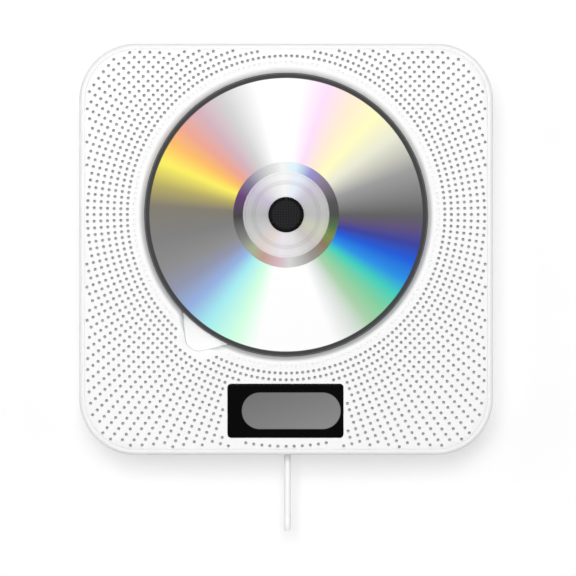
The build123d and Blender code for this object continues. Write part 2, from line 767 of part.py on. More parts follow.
# grommets: a waist grips the chassis plate, the foot stands on the deck
grommet_lip = 1.5
grommet_head_radius = 3.2
grommet_head_height = 1.6
with BuildPart() as grommets:
    grommet_back = chassis_depth - grommet_lip
    with BuildSketch(front_plane(grommet_back, z=disc_z)):
        with Locations(*grommet_places):
            Circle(grommet_radius)
            Circle(grommet_screw_radius + slip_gap, mode=Mode.SUBTRACT)
    extrude(amount=grommet_lip)
    with BuildSketch(front_plane(chassis_depth, z=disc_z)):
        with Locations(*grommet_places):
            Circle(grommet_hole - slip_gap)
            Circle(grommet_screw_radius + slip_gap, mode=Mode.SUBTRACT)
    extrude(amount=chassis_thickness)
    with BuildSketch(front_plane(chassis_front, z=disc_z)):
        with Locations(*grommet_places):
            Circle(grommet_radius)
            Circle(grommet_screw_radius + slip_gap, mode=Mode.SUBTRACT)
    extrude(amount=deck_back - chassis_front)

with BuildPart() as grommet_screws:
    with BuildSketch(front_plane(grommet_back, z=disc_z)):
        with Locations(*grommet_places):
            Circle(grommet_head_radius)
    extrude(amount=-grommet_head_height)
    with BuildSketch(front_plane(grommet_back, z=disc_z)):
        with Locations(*grommet_places):
            Circle(grommet_screw_radius)
    extrude(amount=deck_back - grommet_back + deck_thickness - deck_skin - slip_gap)

# ---------------------------------------------------------------- spindle and turntable
turntable_front = disc_back - mat_thickness
ball_depth = disc_front + 0.2
turntable_back = turntable_front - turntable_thickness
motor_nose_height = 1.2
spindle_foot = chassis_depth - spindle_motor_height + 2.0
shaft_end_gap = 0.5
sleeve_radius = 4.0
sleeve_height = 1.8
hub_well = 2.0  # width of the hub's rim round its hollow
hub_floor = 1.2

with BuildPart() as spindle_motor:
    with BuildSketch(front_plane(chassis_depth - spindle_motor_height, z=disc_z)):
        Circle(spindle_motor_radius)
    extrude(amount=spindle_motor_height)
    chamfer(spindle_motor.faces().sort_by(Axis.Y)[-1].edges(), 0.8)
    with BuildSketch(front_plane(chassis_depth, z=disc_z)):
        Circle(motor_nose_radius)
    extrude(amount=motor_nose_height)
    with BuildSketch(front_plane(spindle_foot - shaft_end_gap, z=disc_z)):
        Circle(shaft_radius + running_gap)
    extrude(amount=spindle_motor_height + motor_nose_height, mode=Mode.SUBTRACT)

with BuildPart() as spindle_shaft:
    with BuildSketch(front_plane(spindle_foot, z=disc_z)):
        Circle(shaft_radius)
    extrude(amount=turntable_front + 1.0 - spindle_foot)

with BuildPart() as turntable:
    # a revolved profile: sleeve, flange and the tapered hub that centres the disc
    with BuildSketch(level_plane(disc_z)):
        with BuildLine():
            Polyline(
                (shaft_radius + press_gap, -turntable_back + sleeve_height),
                (sleeve_radius, -turntable_back + sleeve_height),
                (sleeve_radius, -turntable_back),
                (turntable_radius, -turntable_back),
                (turntable_radius, -turntable_front),
                (hub_radius, -turntable_front),
                (hub_radius, -hub_top_depth + 1.0),
                (hub_radius - 0.5, -hub_top_depth),
                (hub_cap_radius - hub_well, -hub_top_depth),
                (hub_cap_radius - hub_well, -turntable_front - hub_floor),
                (shaft_radius + press_gap, -turntable_front - hub_floor),
                close=True,
            )
        make_face()
    revolve(axis=Axis((0, 0, disc_z), (0, 1, 0)))
    # pockets for the balls that hold the disc
    with BuildSketch(front_plane(ball_depth, z=disc_z)):
        with PolarLocations(hub_radius, ball_count, start_angle=90):
            Rectangle(4 * ball_radius + 2 * slip_gap, 2 * ball_radius + 2 * slip_gap)
    extrude(amount=ball_radius + slip_gap, both=True, mode=Mode.SUBTRACT)

with BuildPart() as turntable_mat:
    with BuildSketch(front_plane(turntable_front, z=disc_z)):
        Circle(turntable_radius - mat_margin)
        Circle(mat_hole_radius, mode=Mode.SUBTRACT)
    extrude(amount=mat_thickness)

with BuildPart() as hub_balls:
    for turn in range(ball_count):
        x, z = polar(hub_radius + ball_stand - ball_radius, 90 + turn * 360 / ball_count)
        with Locations((x, -ball_depth, disc_z + z)):
            Sphere(ball_radius)

with BuildPart() as hub_cap:
    with BuildSketch(front_plane(hub_top_depth, z=disc_z)):
        Circle(hub_cap_radius)
    extrude(amount=hub_cap_height)
    chamfer(hub_cap.faces().sort_by(Axis.Y)[0].edges(), hub_cap_chamfer)
    with BuildSketch(front_plane(hub_top_depth, z=disc_z)):
        Circle(hub_cap_radius - hub_well - slip_gap)
    extrude(amount=-1.0)

with BuildPart() as disc:
    with BuildSketch(front_plane(disc_back, z=disc_z)):
        Circle(disc_radius)
        Circle(disc_hole_radius, mode=Mode.SUBTRACT)
    extrude(amount=disc_thickness)
    # stacking ring on the playing side
    with BuildSketch(front_plane(disc_back, z=disc_z)):
        Circle(stack_ring_radius)
        Circle(stack_ring_radius - stack_ring_width, mode=Mode.SUBTRACT)
    extrude(amount=-stack_ring_height)

# ---------------------------------------------------------------- pickup sled
sled_left = lens_inner_x - sled_back
sled_length = sled_back + sled_front
sled_middle = sled_left + sled_length / 2
arm_root = 1.0  # how far the arms run into the sled's body
fork_length = 8.0
sled_corner = 2.0

with BuildPart() as pickup_sled:
    with BuildSketch(front_plane(sled_depth, z=disc_z)):
        with Locations((sled_middle, 0)):
            Rectangle(sled_length, 2 * sled_half_height)
    extrude(amount=sled_height)
    fillet(pickup_sled.edges().filter_by(Axis.Y), sled_corner)
    # arm with the bearing bore, on the rod that guides the sled
    with BuildSketch(front_plane(rod_depth - rod_sleeve, z=disc_z)):
        with Locations((sled_middle, (sled_half_height + sled_edge - arm_root) / 2)):
            Rectangle(sled_length, sled_edge - sled_half_height + arm_root)
    extrude(amount=2 * rod_sleeve)
    with BuildSketch(side_plane(sled_left, rod_depth, disc_z + rod_offset)):
        Circle(rod_radius + running_gap)
    extrude(amount=sled_length, mode=Mode.SUBTRACT)
    # fork that slides on the second rod
    with BuildSketch(front_plane(rod_depth - rod_sleeve, z=disc_z)):
        with Locations((sled_middle, -(sled_half_height + sled_edge - arm_root) / 2)):
            Rectangle(fork_length, sled_edge - sled_half_height + arm_root)
    extrude(amount=2 * rod_sleeve)
    with BuildSketch(front_plane(rod_depth - rod_radius - running_gap, z=disc_z)):
        with Locations((sled_middle, -(rod_offset + sled_edge) / 2 + rod_radius / 2)):
            Rectangle(fork_length + 1.0, sled_edge - rod_offset + rod_radius + 0.2)
    extrude(amount=2 * (rod_radius + running_gap), mode=Mode.SUBTRACT)

actuator_width = 14.0
actuator_height = 18.0
pickup_lens_radius = 2.5
actuator_back = sled_depth + sled_height
actuator_front = deck_back - 0.5
with BuildPart() as lens_holder:
    with BuildSketch(front_plane(actuator_back, x=lens_inner_x, z=disc_z)):
        RectangleRounded(actuator_width, actuator_height, sled_corner)
    extrude(amount=actuator_front - actuator_back)
    with BuildSketch(front_plane(actuator_front, x=lens_inner_x, z=disc_z)):
        Circle(pickup_lens_radius + 1.1)
    extrude(amount=0.8)
    with BuildSketch(front_plane(actuator_front, x=lens_inner_x, z=disc_z)):
        Circle(pickup_lens_radius)
    extrude(amount=1.0, mode=Mode.SUBTRACT)

with BuildPart() as objective_lens:
    with BuildSketch(front_plane(actuator_front, x=lens_inner_x, z=disc_z)):
        Circle(pickup_lens_radius - press_gap)
    extrude(amount=1.0)
    fillet(objective_lens.faces().sort_by(Axis.Y)[0].edges(), 0.7)

# ---------------------------------------------------------------- gear train
def involute(angle):
    return tan(angle) - angle


def gear_outline(teeth, module, addendum, phase):
    """Corner points of a spur gear: involute flanks from base circle to tip, thinned by the backlash."""
    pitch = module * teeth / 2
    base = pitch * cos(radians(pressure_angle))
    root = pitch - 1.2 * module
    start = max(base, root)
    tip = pitch + addendum
    half_pitch = pi / (2 * teeth) - backlash / (4 * pitch) + involute(radians(pressure_angle))
    radii = [start, (2 * start + tip) / 3, (start + 2 * tip) / 3, tip]
    halves = [half_pitch - involute(acos(base / radius)) for radius in radii]
    points = []
    for tooth in range(teeth):
        middle = radians(phase) + 2 * pi * tooth / teeth
        rising = [(root, middle - halves[0])] * (start > root) + [
            (radius, middle - half) for radius, half in zip(radii, halves)
        ]
        falling = [(radius, middle + half) for radius, half in zip(radii[::-1], halves[::-1])] + [
            (root, middle + halves[0])
        ] * (start > root)
        points += [(radius * cos(angle), radius * sin(angle)) for radius, angle in rising + falling]
    return points


def limited_addendum(own_teeth, other_teeth, module):
    """Largest tooth height above the pitch line that the mating pinion's root can clear."""
    own_base = module * own_teeth / 2 * cos(radians(pressure_angle))
    centres = module * (own_teeth + other_teeth) / 2
    return sqrt(own_base**2 + (centres * sin(radians(pressure_angle))) ** 2) - module * own_teeth / 2


feed_gear_back = rod_depth - rod_sleeve - 2.4
feed_gear_thickness = 1.6
feed_gear_front = feed_gear_back + feed_gear_thickness
lightening_ring = 8.3
lightening_radius = 1.7
lightening_count = 5
pinion_shaft_radius = 0.75
pinion_shaft_reach = 5.0  # how far the shaft runs into its motor
feed_motor_gap = 1.2  # between the large gear and the motor's face
rack_gear_front = rod_depth + 1.0
rack_depth = rod_depth - 2.0
feed_addendum = min(gear_module, limited_addendum(feed_gear_teeth, pinion_teeth, gear_module)) - 0.03
rack_limit = rack_gear_teeth * rack_module * sin(radians(pressure_angle)) ** 2 / 2
rack_addendum = min(rack_module, rack_limit) - 0.04

with BuildPart() as feed_gear:
    with BuildSketch(front_plane(feed_gear_back, x=feed_gear_x, z=disc_z + feed_gear_z)):
        Polygon(*gear_outline(feed_gear_teeth, gear_module, feed_addendum, pinion_direction), align=None)
    extrude(amount=feed_gear_thickness)
    with BuildSketch(front_plane(feed_gear_front, x=feed_gear_x, z=disc_z + feed_gear_z)):
        Polygon(*gear_outline(rack_gear_teeth, rack_module, rack_module, 270), align=None)
    extrude(amount=rack_gear_front - feed_gear_front)
    with BuildSketch(front_plane(feed_gear_back, x=feed_gear_x, z=disc_z + feed_gear_z)):
        Circle(axle_radius + running_gap)
    extrude(amount=rack_gear_front, mode=Mode.SUBTRACT)
    # lightening holes in the large wheel
    with BuildSketch(front_plane(feed_gear_back, x=feed_gear_x, z=disc_z + feed_gear_z)):
        with PolarLocations(lightening_ring, lightening_count):
            Circle(lightening_radius)
    extrude(amount=feed_gear_thickness, mode=Mode.SUBTRACT)

with BuildPart() as gear_axle:
    with BuildSketch(front_plane(feed_gear_back - 1.0, x=feed_gear_x, z=disc_z + feed_gear_z)):
        Circle(axle_radius)
    extrude(amount=chassis_front - feed_gear_back + 1.0)
    with BuildSketch(front_plane(feed_gear_back - 0.1, x=feed_gear_x, z=disc_z + feed_gear_z)):
        Circle(2 * axle_radius)
    extrude(amount=-0.6)

rack_tooth_pitch = pi * rack_module
rack_teeth = int((sled_travel + 5.0) / rack_tooth_pitch)
rack_start = feed_gear_x - sled_travel - 3.0
with BuildPart() as feed_rack:
    # straight-sided teeth; a gap stands under the gear's lowest tooth at rest
    slope = tan(radians(pressure_angle))
    first_gap = feed_gear_x - rack_tooth_pitch * round((feed_gear_x - rack_start) / rack_tooth_pitch)
    rack_end = first_gap + rack_teeth * rack_tooth_pitch
    root_z = rack_pitch_z - 1.2 * rack_module
    tip_z = rack_pitch_z + rack_addendum
    half_tooth = rack_tooth_pitch / 4 - backlash / 4
    rack_points = [(first_gap, root_z)]
    for tooth in range(rack_teeth):
        middle = first_gap + (tooth + 0.5) * rack_tooth_pitch
        root_half = half_tooth + slope * (rack_pitch_z - root_z)
        tip_half = half_tooth - slope * (tip_z - rack_pitch_z)
        rack_points += [
            (middle - root_half, root_z),
            (middle - tip_half, tip_z),
            (middle + tip_half, tip_z),
            (middle + root_half, root_z),
        ]
    rack_points += [(rack_end, root_z), (rack_end, sled_edge), (first_gap, sled_edge)]
    with BuildSketch(front_plane(rack_depth, z=disc_z)):
        Polygon(*rack_points, align=None)
    extrude(amount=rack_gear_front - rack_depth)

feed_motor_back = feed_gear_front + feed_motor_gap
with BuildPart() as feed_motor:
    with BuildSketch(front_plane(feed_motor_back, x=pinion_x, z=disc_z + pinion_z)):
        Circle(feed_motor_radius)
    extrude(amount=deck_back - 0.6 - feed_motor_back)
    chamfer(feed_motor.faces().sort_by(Axis.Y)[0].edges(), 0.6)
    with BuildSketch(front_plane(feed_motor_back, x=pinion_x, z=disc_z + pinion_z)):
        Circle(pinion_shaft_radius + running_gap)
    extrude(amount=pinion_shaft_reach + 1.0, mode=Mode.SUBTRACT)

with BuildPart() as feed_pinion:
    with BuildSketch(front_plane(feed_gear_back - 0.2, x=pinion_x, z=disc_z + pinion_z)):
        pinion_phase = pinion_direction + 180 + 180 / pinion_teeth
        Polygon(*gear_outline(pinion_teeth, gear_module, gear_module, pinion_phase), align=None)
    extrude(amount=feed_gear_thickness + 0.4)
    with BuildSketch(front_plane(feed_gear_front, x=pinion_x, z=disc_z + pinion_z)):
        Circle(pinion_shaft_radius)
    extrude(amount=feed_motor_gap + pinion_shaft_reach)

# ---------------------------------------------------------------- loudspeakers
speaker_front = panel_back - cloth_thickness
flange_thickness = 1.5
flange_width = 1.8
basket_back = speaker_front - speaker_depth
speaker_places = [(-speaker_x, 0), (speaker_x, 0)]

cone_seat_depth = speaker_front - 1.8
cone_radius = speaker_radius - 4.0
basket_taper = 42  # degrees
basket_floor = 1.5

with BuildPart() as speaker_frames:
    for place in speaker_places:
        with BuildSketch(front_plane(speaker_front - flange_thickness, x=place[0], z=speaker_z)):
            Circle(speaker_radius)
        extrude(amount=flange_thickness)
        with BuildSketch(front_plane(speaker_front - flange_thickness, x=place[0], z=speaker_z)):
            Circle(speaker_radius - flange_width)
        extrude(amount=-(speaker_depth - flange_thickness), taper=basket_taper)
    # a step carries the rim of the cone, and the basket narrows behind it
    for place in speaker_places:
        with BuildSketch(front_plane(cone_seat_depth, x=place[0], z=speaker_z)):
            Circle(cone_radius + screw_clearance)
        extrude(amount=speaker_front - cone_seat_depth, mode=Mode.SUBTRACT)
        with BuildSketch(front_plane(cone_seat_depth, x=place[0], z=speaker_z)):
            Circle(cone_radius - 0.8)
        extrude(amount=basket_back + basket_floor - cone_seat_depth, taper=basket_taper, mode=Mode.SUBTRACT)

dust_cap_radius = 4.0
cone_thickness = 0.8
with BuildPart() as speaker_cones:
    for place in speaker_places:
        with BuildSketch(level_plane(speaker_z, x=place[0])):
            with BuildLine():
                Polyline(
                    (0, -cone_seat_depth + 5.6),
                    (dust_cap_radius, -cone_seat_depth + 6.4),
                    (cone_radius - 1.2, -cone_seat_depth - 0.4),
                    (cone_radius, -cone_seat_depth - cone_thickness),
                    (cone_radius, -cone_seat_depth),
                    (cone_radius - 1.1, -cone_seat_depth),
                    (dust_cap_radius, -cone_seat_depth + 6.4 + cone_thickness),
                    (0, -cone_seat_depth + 6.4 + cone_thickness),
                    close=True,
                )
            make_face()
        revolve(axis=Axis((place[0], 0, speaker_z), (0, 1, 0)))

with BuildPart() as speaker_magnets:
    with BuildSketch(front_plane(basket_back, z=speaker_z)):
        with Locations(*speaker_places):
            Circle(magnet_radius)
    extrude(amount=-magnet_height)

# ---------------------------------------------------------------- main board and sockets
board_front = board_depth + board_thickness
with BuildPart() as main_board:
    with BuildSketch(front_plane(board_depth)):
        with Locations(((board_left + board_right) / 2, (board_bottom + board_top) / 2)):
            Rectangle(board_right - board_left, board_top - board_bottom)
        with Locations(*board_screw_places):
            Circle(board_screw_radius + screw_clearance, mode=Mode.SUBTRACT)
    extrude(amount=board_thickness)

with BuildPart() as board_screws:
    with BuildSketch(front_plane(board_front)):
        with Locations(*board_screw_places):
            Circle(pan_head_radius)
    extrude(amount=pan_head_height)
    with BuildSketch(front_plane(board_front)):
        with Locations(*board_screw_places):
            Circle(board_screw_radius)
    extrude(amount=-(board_thickness + board_pilot - 0.4))

large_chip = 12.0
small_chip_length = 7.0
small_chip_width = 5.0
chip_height = 1.4
capacitor_radius = 3.1
capacitor_height = 6.0
with BuildPart() as board_components:
    board_middle_z = (board_bottom + board_top) / 2
    with BuildSketch(front_plane(board_front, z=board_middle_z)):
        with Locations((-large_chip, large_chip), (2 * large_chip, -large_chip)):
            Rectangle(large_chip, large_chip)
        with Locations((-2 * large_chip, -large_chip), (0, -large_chip)):
            Rectangle(small_chip_length, small_chip_width)
    extrude(amount=chip_height)
    with BuildSketch(front_plane(board_front, x=4 * large_chip, z=board_middle_z)):
        with GridLocations(3 * capacitor_radius, 3 * capacitor_radius, 2, 2):
            Circle(capacitor_radius)
    extrude(amount=capacitor_height)

socket_reach = 13.0
socket_face = body_side - wall - 0.2
inlet_bore = 2.9
inlet_bore_length = 9.5
inlet_pin = 0.9
jack_nose_radius = 2.8
jack_nose_length = 1.4
with BuildPart() as dc_socket:
    with BuildSketch(front_plane(board_front)):
        with Locations((socket_face - socket_reach / 2, inlet_z)):
            Rectangle(socket_reach, socket_width)
    extrude(amount=2 * (socket_depth - board_front))
    with BuildSketch(side_plane(socket_face, socket_depth, inlet_z)):
        Circle(inlet_bore)
    extrude(amount=-inlet_bore_length, mode=Mode.SUBTRACT)

with BuildPart() as inlet_contact:
    with BuildSketch(side_plane(socket_face - inlet_bore_length, socket_depth, inlet_z)):
        Circle(inlet_pin)
    extrude(amount=inlet_bore_length - inlet_pin)
    fillet(inlet_contact.faces().sort_by(Axis.X)[-1].edges(), inlet_pin / 2)

with BuildPart() as headphone_jack:
    with BuildSketch(front_plane(board_front)):
        with Locations((socket_face - socket_reach / 2, jack_z)):
            Rectangle(socket_reach, jack_width)
    extrude(amount=2 * (jack_depth - board_front))
    with BuildSketch(side_plane(socket_face, jack_depth, jack_z)):
        Circle(jack_nose_radius)
    extrude(amount=jack_nose_length)
    with BuildSketch(side_plane(body_side, jack_depth, jack_z)):
        Circle(jack_bore)
    extrude(amount=-socket_reach, mode=Mode.SUBTRACT)

# ---------------------------------------------------------------- buttons on the top edge
flange_gap = 0.1
button_flange = 1.2  # thickness, and how far it stands out behind the wall
button_edge = 0.4
button_reach = 3.4
stem_radius = 1.3
tact_size = 6.0
tact_height = 3.4
tact_knob_radius = 1.7


def push_button(x):
    """A flush oblong button: cap in the wall, flange behind it, stem over its switch."""
    with BuildPart() as button:
        with BuildSketch(level_plane(body_top - wall - flange_gap, x=x, depth=button_depth)):
            SlotOverall(button_length, button_width)
        extrude(amount=wall + flange_gap)
        fillet(button.faces().sort_by(Axis.Z)[-1].edges(), button_edge)
        with BuildSketch(level_plane(body_top - wall - flange_gap, x=x, depth=button_depth)):
            SlotOverall(button_length + 2 * button_flange, button_width + 2 * button_flange)
        extrude(amount=-button_flange)
        with BuildSketch(level_plane(body_top - wall - flange_gap, x=x, depth=button_depth)):
            Circle(stem_radius)
        extrude(amount=-button_reach)
    return button


buttons = {f"button_{name}": push_button(x) for name, x in zip(button_names, button_places)}

with BuildPart() as button_board:
    with BuildSketch(level_plane(button_board_z, depth=button_depth)):
        Rectangle(2 * button_post_x + 2.5 * post_radius, button_board_width)
        with Locations((-button_post_x, 0), (button_post_x, 0)):
            Circle(board_screw_radius + screw_clearance, mode=Mode.SUBTRACT)
    extrude(amount=-button_board_thickness)

with BuildPart() as button_screws:
    with BuildSketch(level_plane(button_board_z - button_board_thickness, depth=button_depth)):
        with Locations((-button_post_x, 0), (button_post_x, 0)):
            Circle(pan_head_radius)
    extrude(amount=-pan_head_height)
    with BuildSketch(level_plane(button_board_z - button_board_thickness, depth=button_depth)):
        with Locations((-button_post_x, 0), (button_post_x, 0)):
            Circle(board_screw_radius)
    extrude(amount=button_board_thickness + button_pilot - 0.2)

stem_foot = body_top - wall - flange_gap - button_reach
with BuildPart() as tact_switches:
    with BuildSketch(level_plane(button_board_z, depth=button_depth)):
        with Locations(*[(x, 0) for x in button_places]):
            Rectangle(tact_size, tact_size)
    extrude(amount=tact_height)
    with BuildSketch(level_plane(button_board_z, depth=button_depth)):
        with Locations(*[(x, 0) for x in button_places]):
            Circle(tact_knob_radius)
    extrude(amount=stem_foot - button_travel - flange_gap - button_board_z)

# ---------------------------------------------------------------- pull switch and cord
inner_floor = body_bottom + wall
bushing_flange = 1.5
bushing_lip = 1.4
switch_bottom = inner_floor + bushing_flange
switch_floor = 2.7
travel_gap = 0.3  # left under the plunger's head at full travel
plunger_seat = switch_bottom + switch_floor + pull_travel + travel_gap + 0.2
plunger_end = body_bottom + 0.8
head_height = 2.0
head_gap = 0.4
switch_top = plunger_seat + head_height + 2.0
switch_width = 13.0
switch_length = 10.0

with BuildPart() as cord_bushing:
    with BuildSketch(level_plane(body_bottom, depth=cord_depth)):
        Circle(bushing_radius)
    extrude(amount=wall)
    with BuildSketch(level_plane(inner_floor, depth=cord_depth)):
        Circle(bushing_radius + bushing_lip)
    extrude(amount=bushing_flange)
    with BuildSketch(level_plane(body_bottom, depth=cord_depth)):
        Circle(plunger_radius + plunger_gap)
    extrude(amount=wall + bushing_flange, mode=Mode.SUBTRACT)
    chamfer(cord_bushing.faces().sort_by(Axis.Z)[0].edges().sort_by(SortBy.RADIUS)[0], 0.3)

with BuildPart() as pull_switch:
    with BuildSketch(level_plane(switch_bottom, depth=cord_depth)):
        RectangleRounded(switch_width, switch_length, 1.5)
    extrude(amount=switch_top - switch_bottom)
    with BuildSketch(level_plane(switch_bottom, depth=cord_depth)):
        Circle(plunger_radius + plunger_gap)
    extrude(amount=plunger_seat - switch_bottom, mode=Mode.SUBTRACT)
    with BuildSketch(level_plane(plunger_seat - pull_travel - travel_gap, depth=cord_depth)):
        Circle(plunger_head_radius + plunger_gap)
    extrude(amount=pull_travel + travel_gap + head_height + head_gap, mode=Mode.SUBTRACT)

with BuildPart() as switch_plunger:
    with BuildSketch(level_plane(plunger_end, depth=cord_depth)):
        Circle(plunger_radius)
    extrude(amount=plunger_seat - plunger_end)
    with BuildSketch(level_plane(plunger_seat, depth=cord_depth)):
        Circle(plunger_head_radius)
    extrude(amount=head_height)

# the cord hangs straight under its own tip
with BuildPart() as pull_cord:
    with BuildSketch(level_plane(plunger_end, depth=cord_depth)):
        Circle(cord_radius)
    extrude(amount=-cord_length)

with BuildPart() as cord_tip:
    with BuildSketch(level_plane(plunger_end - cord_length, depth=cord_depth)):
        Circle(cord_tip_radius)
    extrude(amount=-cord_tip_length)
    fillet(cord_tip.faces().sort_by(Axis.Z)[0].edges(), 0.6 * cord_tip_radius)
    fillet(cord_tip.faces().sort_by(Axis.Z)[-1].edges(), 0.25)

# ---------------------------------------------------------------- write one file for each node
pieces = {
    "wall_bracket": wall_bracket,
    "rear_cover": rear_cover,
    "rear_pads": rear_pads,
    "housing_screws": housing_screws,
    "front_housing": front_housing,
    "grille_panel": grille_panel,
    "grille_cloth": grille_cloth,
    "display_lens": display_lens,
    "display_module": display_module,
    "display_board": display_board,
    "display_screws": display_screws,
    "deck_plate": deck_plate,
    "deck_screws": deck_screws,
    "chassis": chassis,
    "guide_rods": guide_rods,
    "grommets": grommets,
    "grommet_screws": grommet_screws,
    "spindle_motor": spindle_motor,
    "spindle_shaft": spindle_shaft,
    "turntable": turntable,
    "turntable_mat": turntable_mat,
    "hub_balls": hub_balls,
    "hub_cap": hub_cap,
    "disc": disc,
    "pickup_sled": pickup_sled,
    "lens_holder": lens_holder,
    "objective_lens": objective_lens,
    "feed_gear": feed_gear,
    "gear_axle": gear_axle,
    "feed_rack": feed_rack,
    "feed_motor": feed_motor,
    "feed_pinion": feed_pinion,
    "speaker_frames": speaker_frames,
    "speaker_cones": speaker_cones,
    "speaker_magnets": speaker_magnets,
    "main_board": main_board,
    "board_screws": board_screws,
    "board_components": board_components,
    "dc_socket": dc_socket,
    "inlet_contact": inlet_contact,
    "headphone_jack": headphone_jack,
    "button_board": button_board,
    "button_screws": button_screws,
    "tact_switches": tact_switches,
    "cord_bushing": cord_bushing,
    "pull_switch": pull_switch,
    "switch_plunger": switch_plunger,
    "pull_cord": pull_cord,
    "cord_tip": cord_tip,
    **buttons,
}

for name, piece in pieces.items():
    piece.part.label = name
    export_step(piece.part, f"parts/{name}.step")

print("sound holes over the two loudspeakers:", len(sound_holes))
print("cord runs straight: no bend radius; length", cord_length, "mm")
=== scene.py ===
# %% [markdown]
# # A wall mounted CD player
#
# The player is a flat white square that hangs on a bracket. Its face is a perforated panel with a round
# well, where the disc turns in the open. This notebook dresses the player's solids, which come in from
# the CAD model. The pieces with too fine a detail for the solids are modelled again: the perforated panel
# with its finger notch, the cloth behind it, the disc, the display's window and the pull cord.
#
# Sizes of pieces are in millimetres and are turned into metres when a piece is made. The wall is the
# plane y = 0, the player's face looks along -y, and +z is up.

# %% Load the solids
from collections import namedtuple
from math import atan2, cos, pi, radians, sin, sqrt

import bpy
import numpy as np
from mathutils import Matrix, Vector
from mathutils.geometry import delaunay_2d_cdt


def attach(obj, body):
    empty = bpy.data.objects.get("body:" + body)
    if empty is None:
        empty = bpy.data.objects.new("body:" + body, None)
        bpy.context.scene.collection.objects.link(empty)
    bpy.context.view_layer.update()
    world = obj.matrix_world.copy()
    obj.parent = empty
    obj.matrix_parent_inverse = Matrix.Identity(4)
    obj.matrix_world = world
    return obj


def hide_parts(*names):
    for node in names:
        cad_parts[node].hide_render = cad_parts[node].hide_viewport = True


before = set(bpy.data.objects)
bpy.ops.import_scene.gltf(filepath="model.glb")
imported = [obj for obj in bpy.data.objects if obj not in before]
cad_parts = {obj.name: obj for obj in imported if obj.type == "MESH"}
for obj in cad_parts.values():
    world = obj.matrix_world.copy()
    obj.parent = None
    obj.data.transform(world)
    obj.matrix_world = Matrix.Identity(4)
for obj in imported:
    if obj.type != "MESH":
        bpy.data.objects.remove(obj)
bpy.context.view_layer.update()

mm = 0.001

# %% [markdown]
# ## The camera
#
# A long lens a good way off shows the face almost without perspective, and hides the side walls of the
# well. Its distance follows from the width that the view has to cover at the face.

# %% Camera, square on to the face
def add_object(name, data, **settings):
    """A new object in the scene. The settings are for its mesh, curve, camera or lamp."""
    for key, value in settings.items():
        setattr(data, key, value)
    made = bpy.data.objects.new(name, data)
    bpy.context.scene.collection.objects.link(made)
    return made


face_y = -41.0 * mm
view_x, view_z, view_width = 0.80 * mm, -34.43 * mm, 243.5 * mm
focal_length, sensor_width = 200.0, 36.0
camera_distance = view_width * focal_length / sensor_width

camera = add_object(
    "camera", bpy.data.cameras.new("camera"), lens=focal_length, sensor_width=sensor_width
)
camera.location = (view_x, face_y - camera_distance, view_z)
camera.rotation_euler = (pi / 2, 0, 0)
bpy.context.scene.camera = camera
print(f"camera stands {camera_distance:.3f} m in front of the face")

# %% [markdown]
# ## Helpers for new pieces
#
# All the new pieces are arrays of points and arrays of corner numbers, so one function turns them into
# meshes. Writing whole arrays at once is fast, where adding vertices one by one is slow.

# %% Mesh helpers
def make_piece(name, points, faces, body, sharp=35):
    """A new piece from an array of points and arrays of corner numbers, four or three to a face.

    Faces are shaded smooth, apart from edges that turn by more than the angle given in degrees."""
    corners = np.concatenate([np.asarray(f).ravel() for f in faces]).astype(np.int32)
    sizes = np.concatenate([np.full(len(f), np.shape(f)[1]) for f in faces]).astype(np.int32)
    starts = (np.cumsum(sizes) - sizes).astype(np.int32)
    mesh = bpy.data.meshes.new(name)
    mesh.vertices.add(len(points))
    mesh.vertices.foreach_set("co", np.asarray(points, dtype=np.float32).ravel())
    mesh.loops.add(len(corners))
    mesh.loops.foreach_set("vertex_index", corners)
    mesh.polygons.add(len(sizes))
    mesh.polygons.foreach_set("loop_start", starts)
    mesh.polygons.foreach_set("use_smooth", np.ones(len(sizes), dtype=bool))
    mesh.update(calc_edges=True)
    mesh.validate()
    mesh.set_sharp_from_angle(angle=radians(sharp))
    piece = add_object(name, mesh)
    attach(piece, body)
    print(f"{name}: {len(points)} points, {len(sizes)} faces")
    return piece


def grid_faces(rows, columns):
    """Corner numbers of the quads between neighbouring rows of a grid, joined up around each row."""
    row, column = np.meshgrid(np.arange(rows - 1), np.arange(columns), indexing="ij")
    a, b = row * columns + column, row * columns + (column + 1) % columns
    return np.stack([a, b, b + columns, a + columns], axis=-1).reshape(-1, 4)


def numbered(parts):
    """The point numbers of each part, when parts are put one after the other."""
    ends = np.cumsum([len(part) for part in parts])
    return [np.arange(end - len(part), end) for part, end in zip(parts, ends)]


def unit(turn):
    """Points on a circle of radius one: the cosine and the sine of each angle."""
    return np.stack([np.cos(turn), np.sin(turn)], axis=-1)


def circle(steps, first=0.0):
    """Points all round a circle of radius one in equal steps, the first one part of a step on."""
    return unit((np.arange(steps) + first) * 2 * pi / steps)


# %% [markdown]
# ## The pull cord
#
# A thin round cord hangs straight down from the middle of the lower edge, to a small moulded end that is
# hardly thicker. A cord is a curve with a thickness: a few points that it follows, and a bevel of half
# its diameter. Its last point is inside the end piece, which is a profile of radius and height turned
# round the cord. The cord's material gets its nodes later, with the other plastics.

# %% Cord
cord_radius, cord_x, cord_y = 1.45 * mm, 0.55 * mm, -26.0 * mm
cord_heights = np.array([-104.2, -115.5, -126.5, -136.8]) * mm
cord_line = bpy.data.curves.new("hanging_cord", "CURVE")
cord_line.dimensions = "3D"
cord_path = cord_line.splines.new("NURBS")
cord_path.points.add(len(cord_heights) - 1)
cord_path.points.foreach_set("co", np.array([(cord_x, cord_y, z, 1) for z in cord_heights]).ravel())
cord_path.order_u = 3
cord_path.use_endpoint_u = True
cord_finish = bpy.data.materials.new("cord_sleeve")
cord_line.materials.append(cord_finish)
hanging_cord = add_object(
    "hanging_cord", cord_line, bevel_depth=cord_radius, bevel_resolution=5, resolution_u=24,
    use_fill_caps=True,
)
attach(hanging_cord, "pull")
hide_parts("pull_cord")

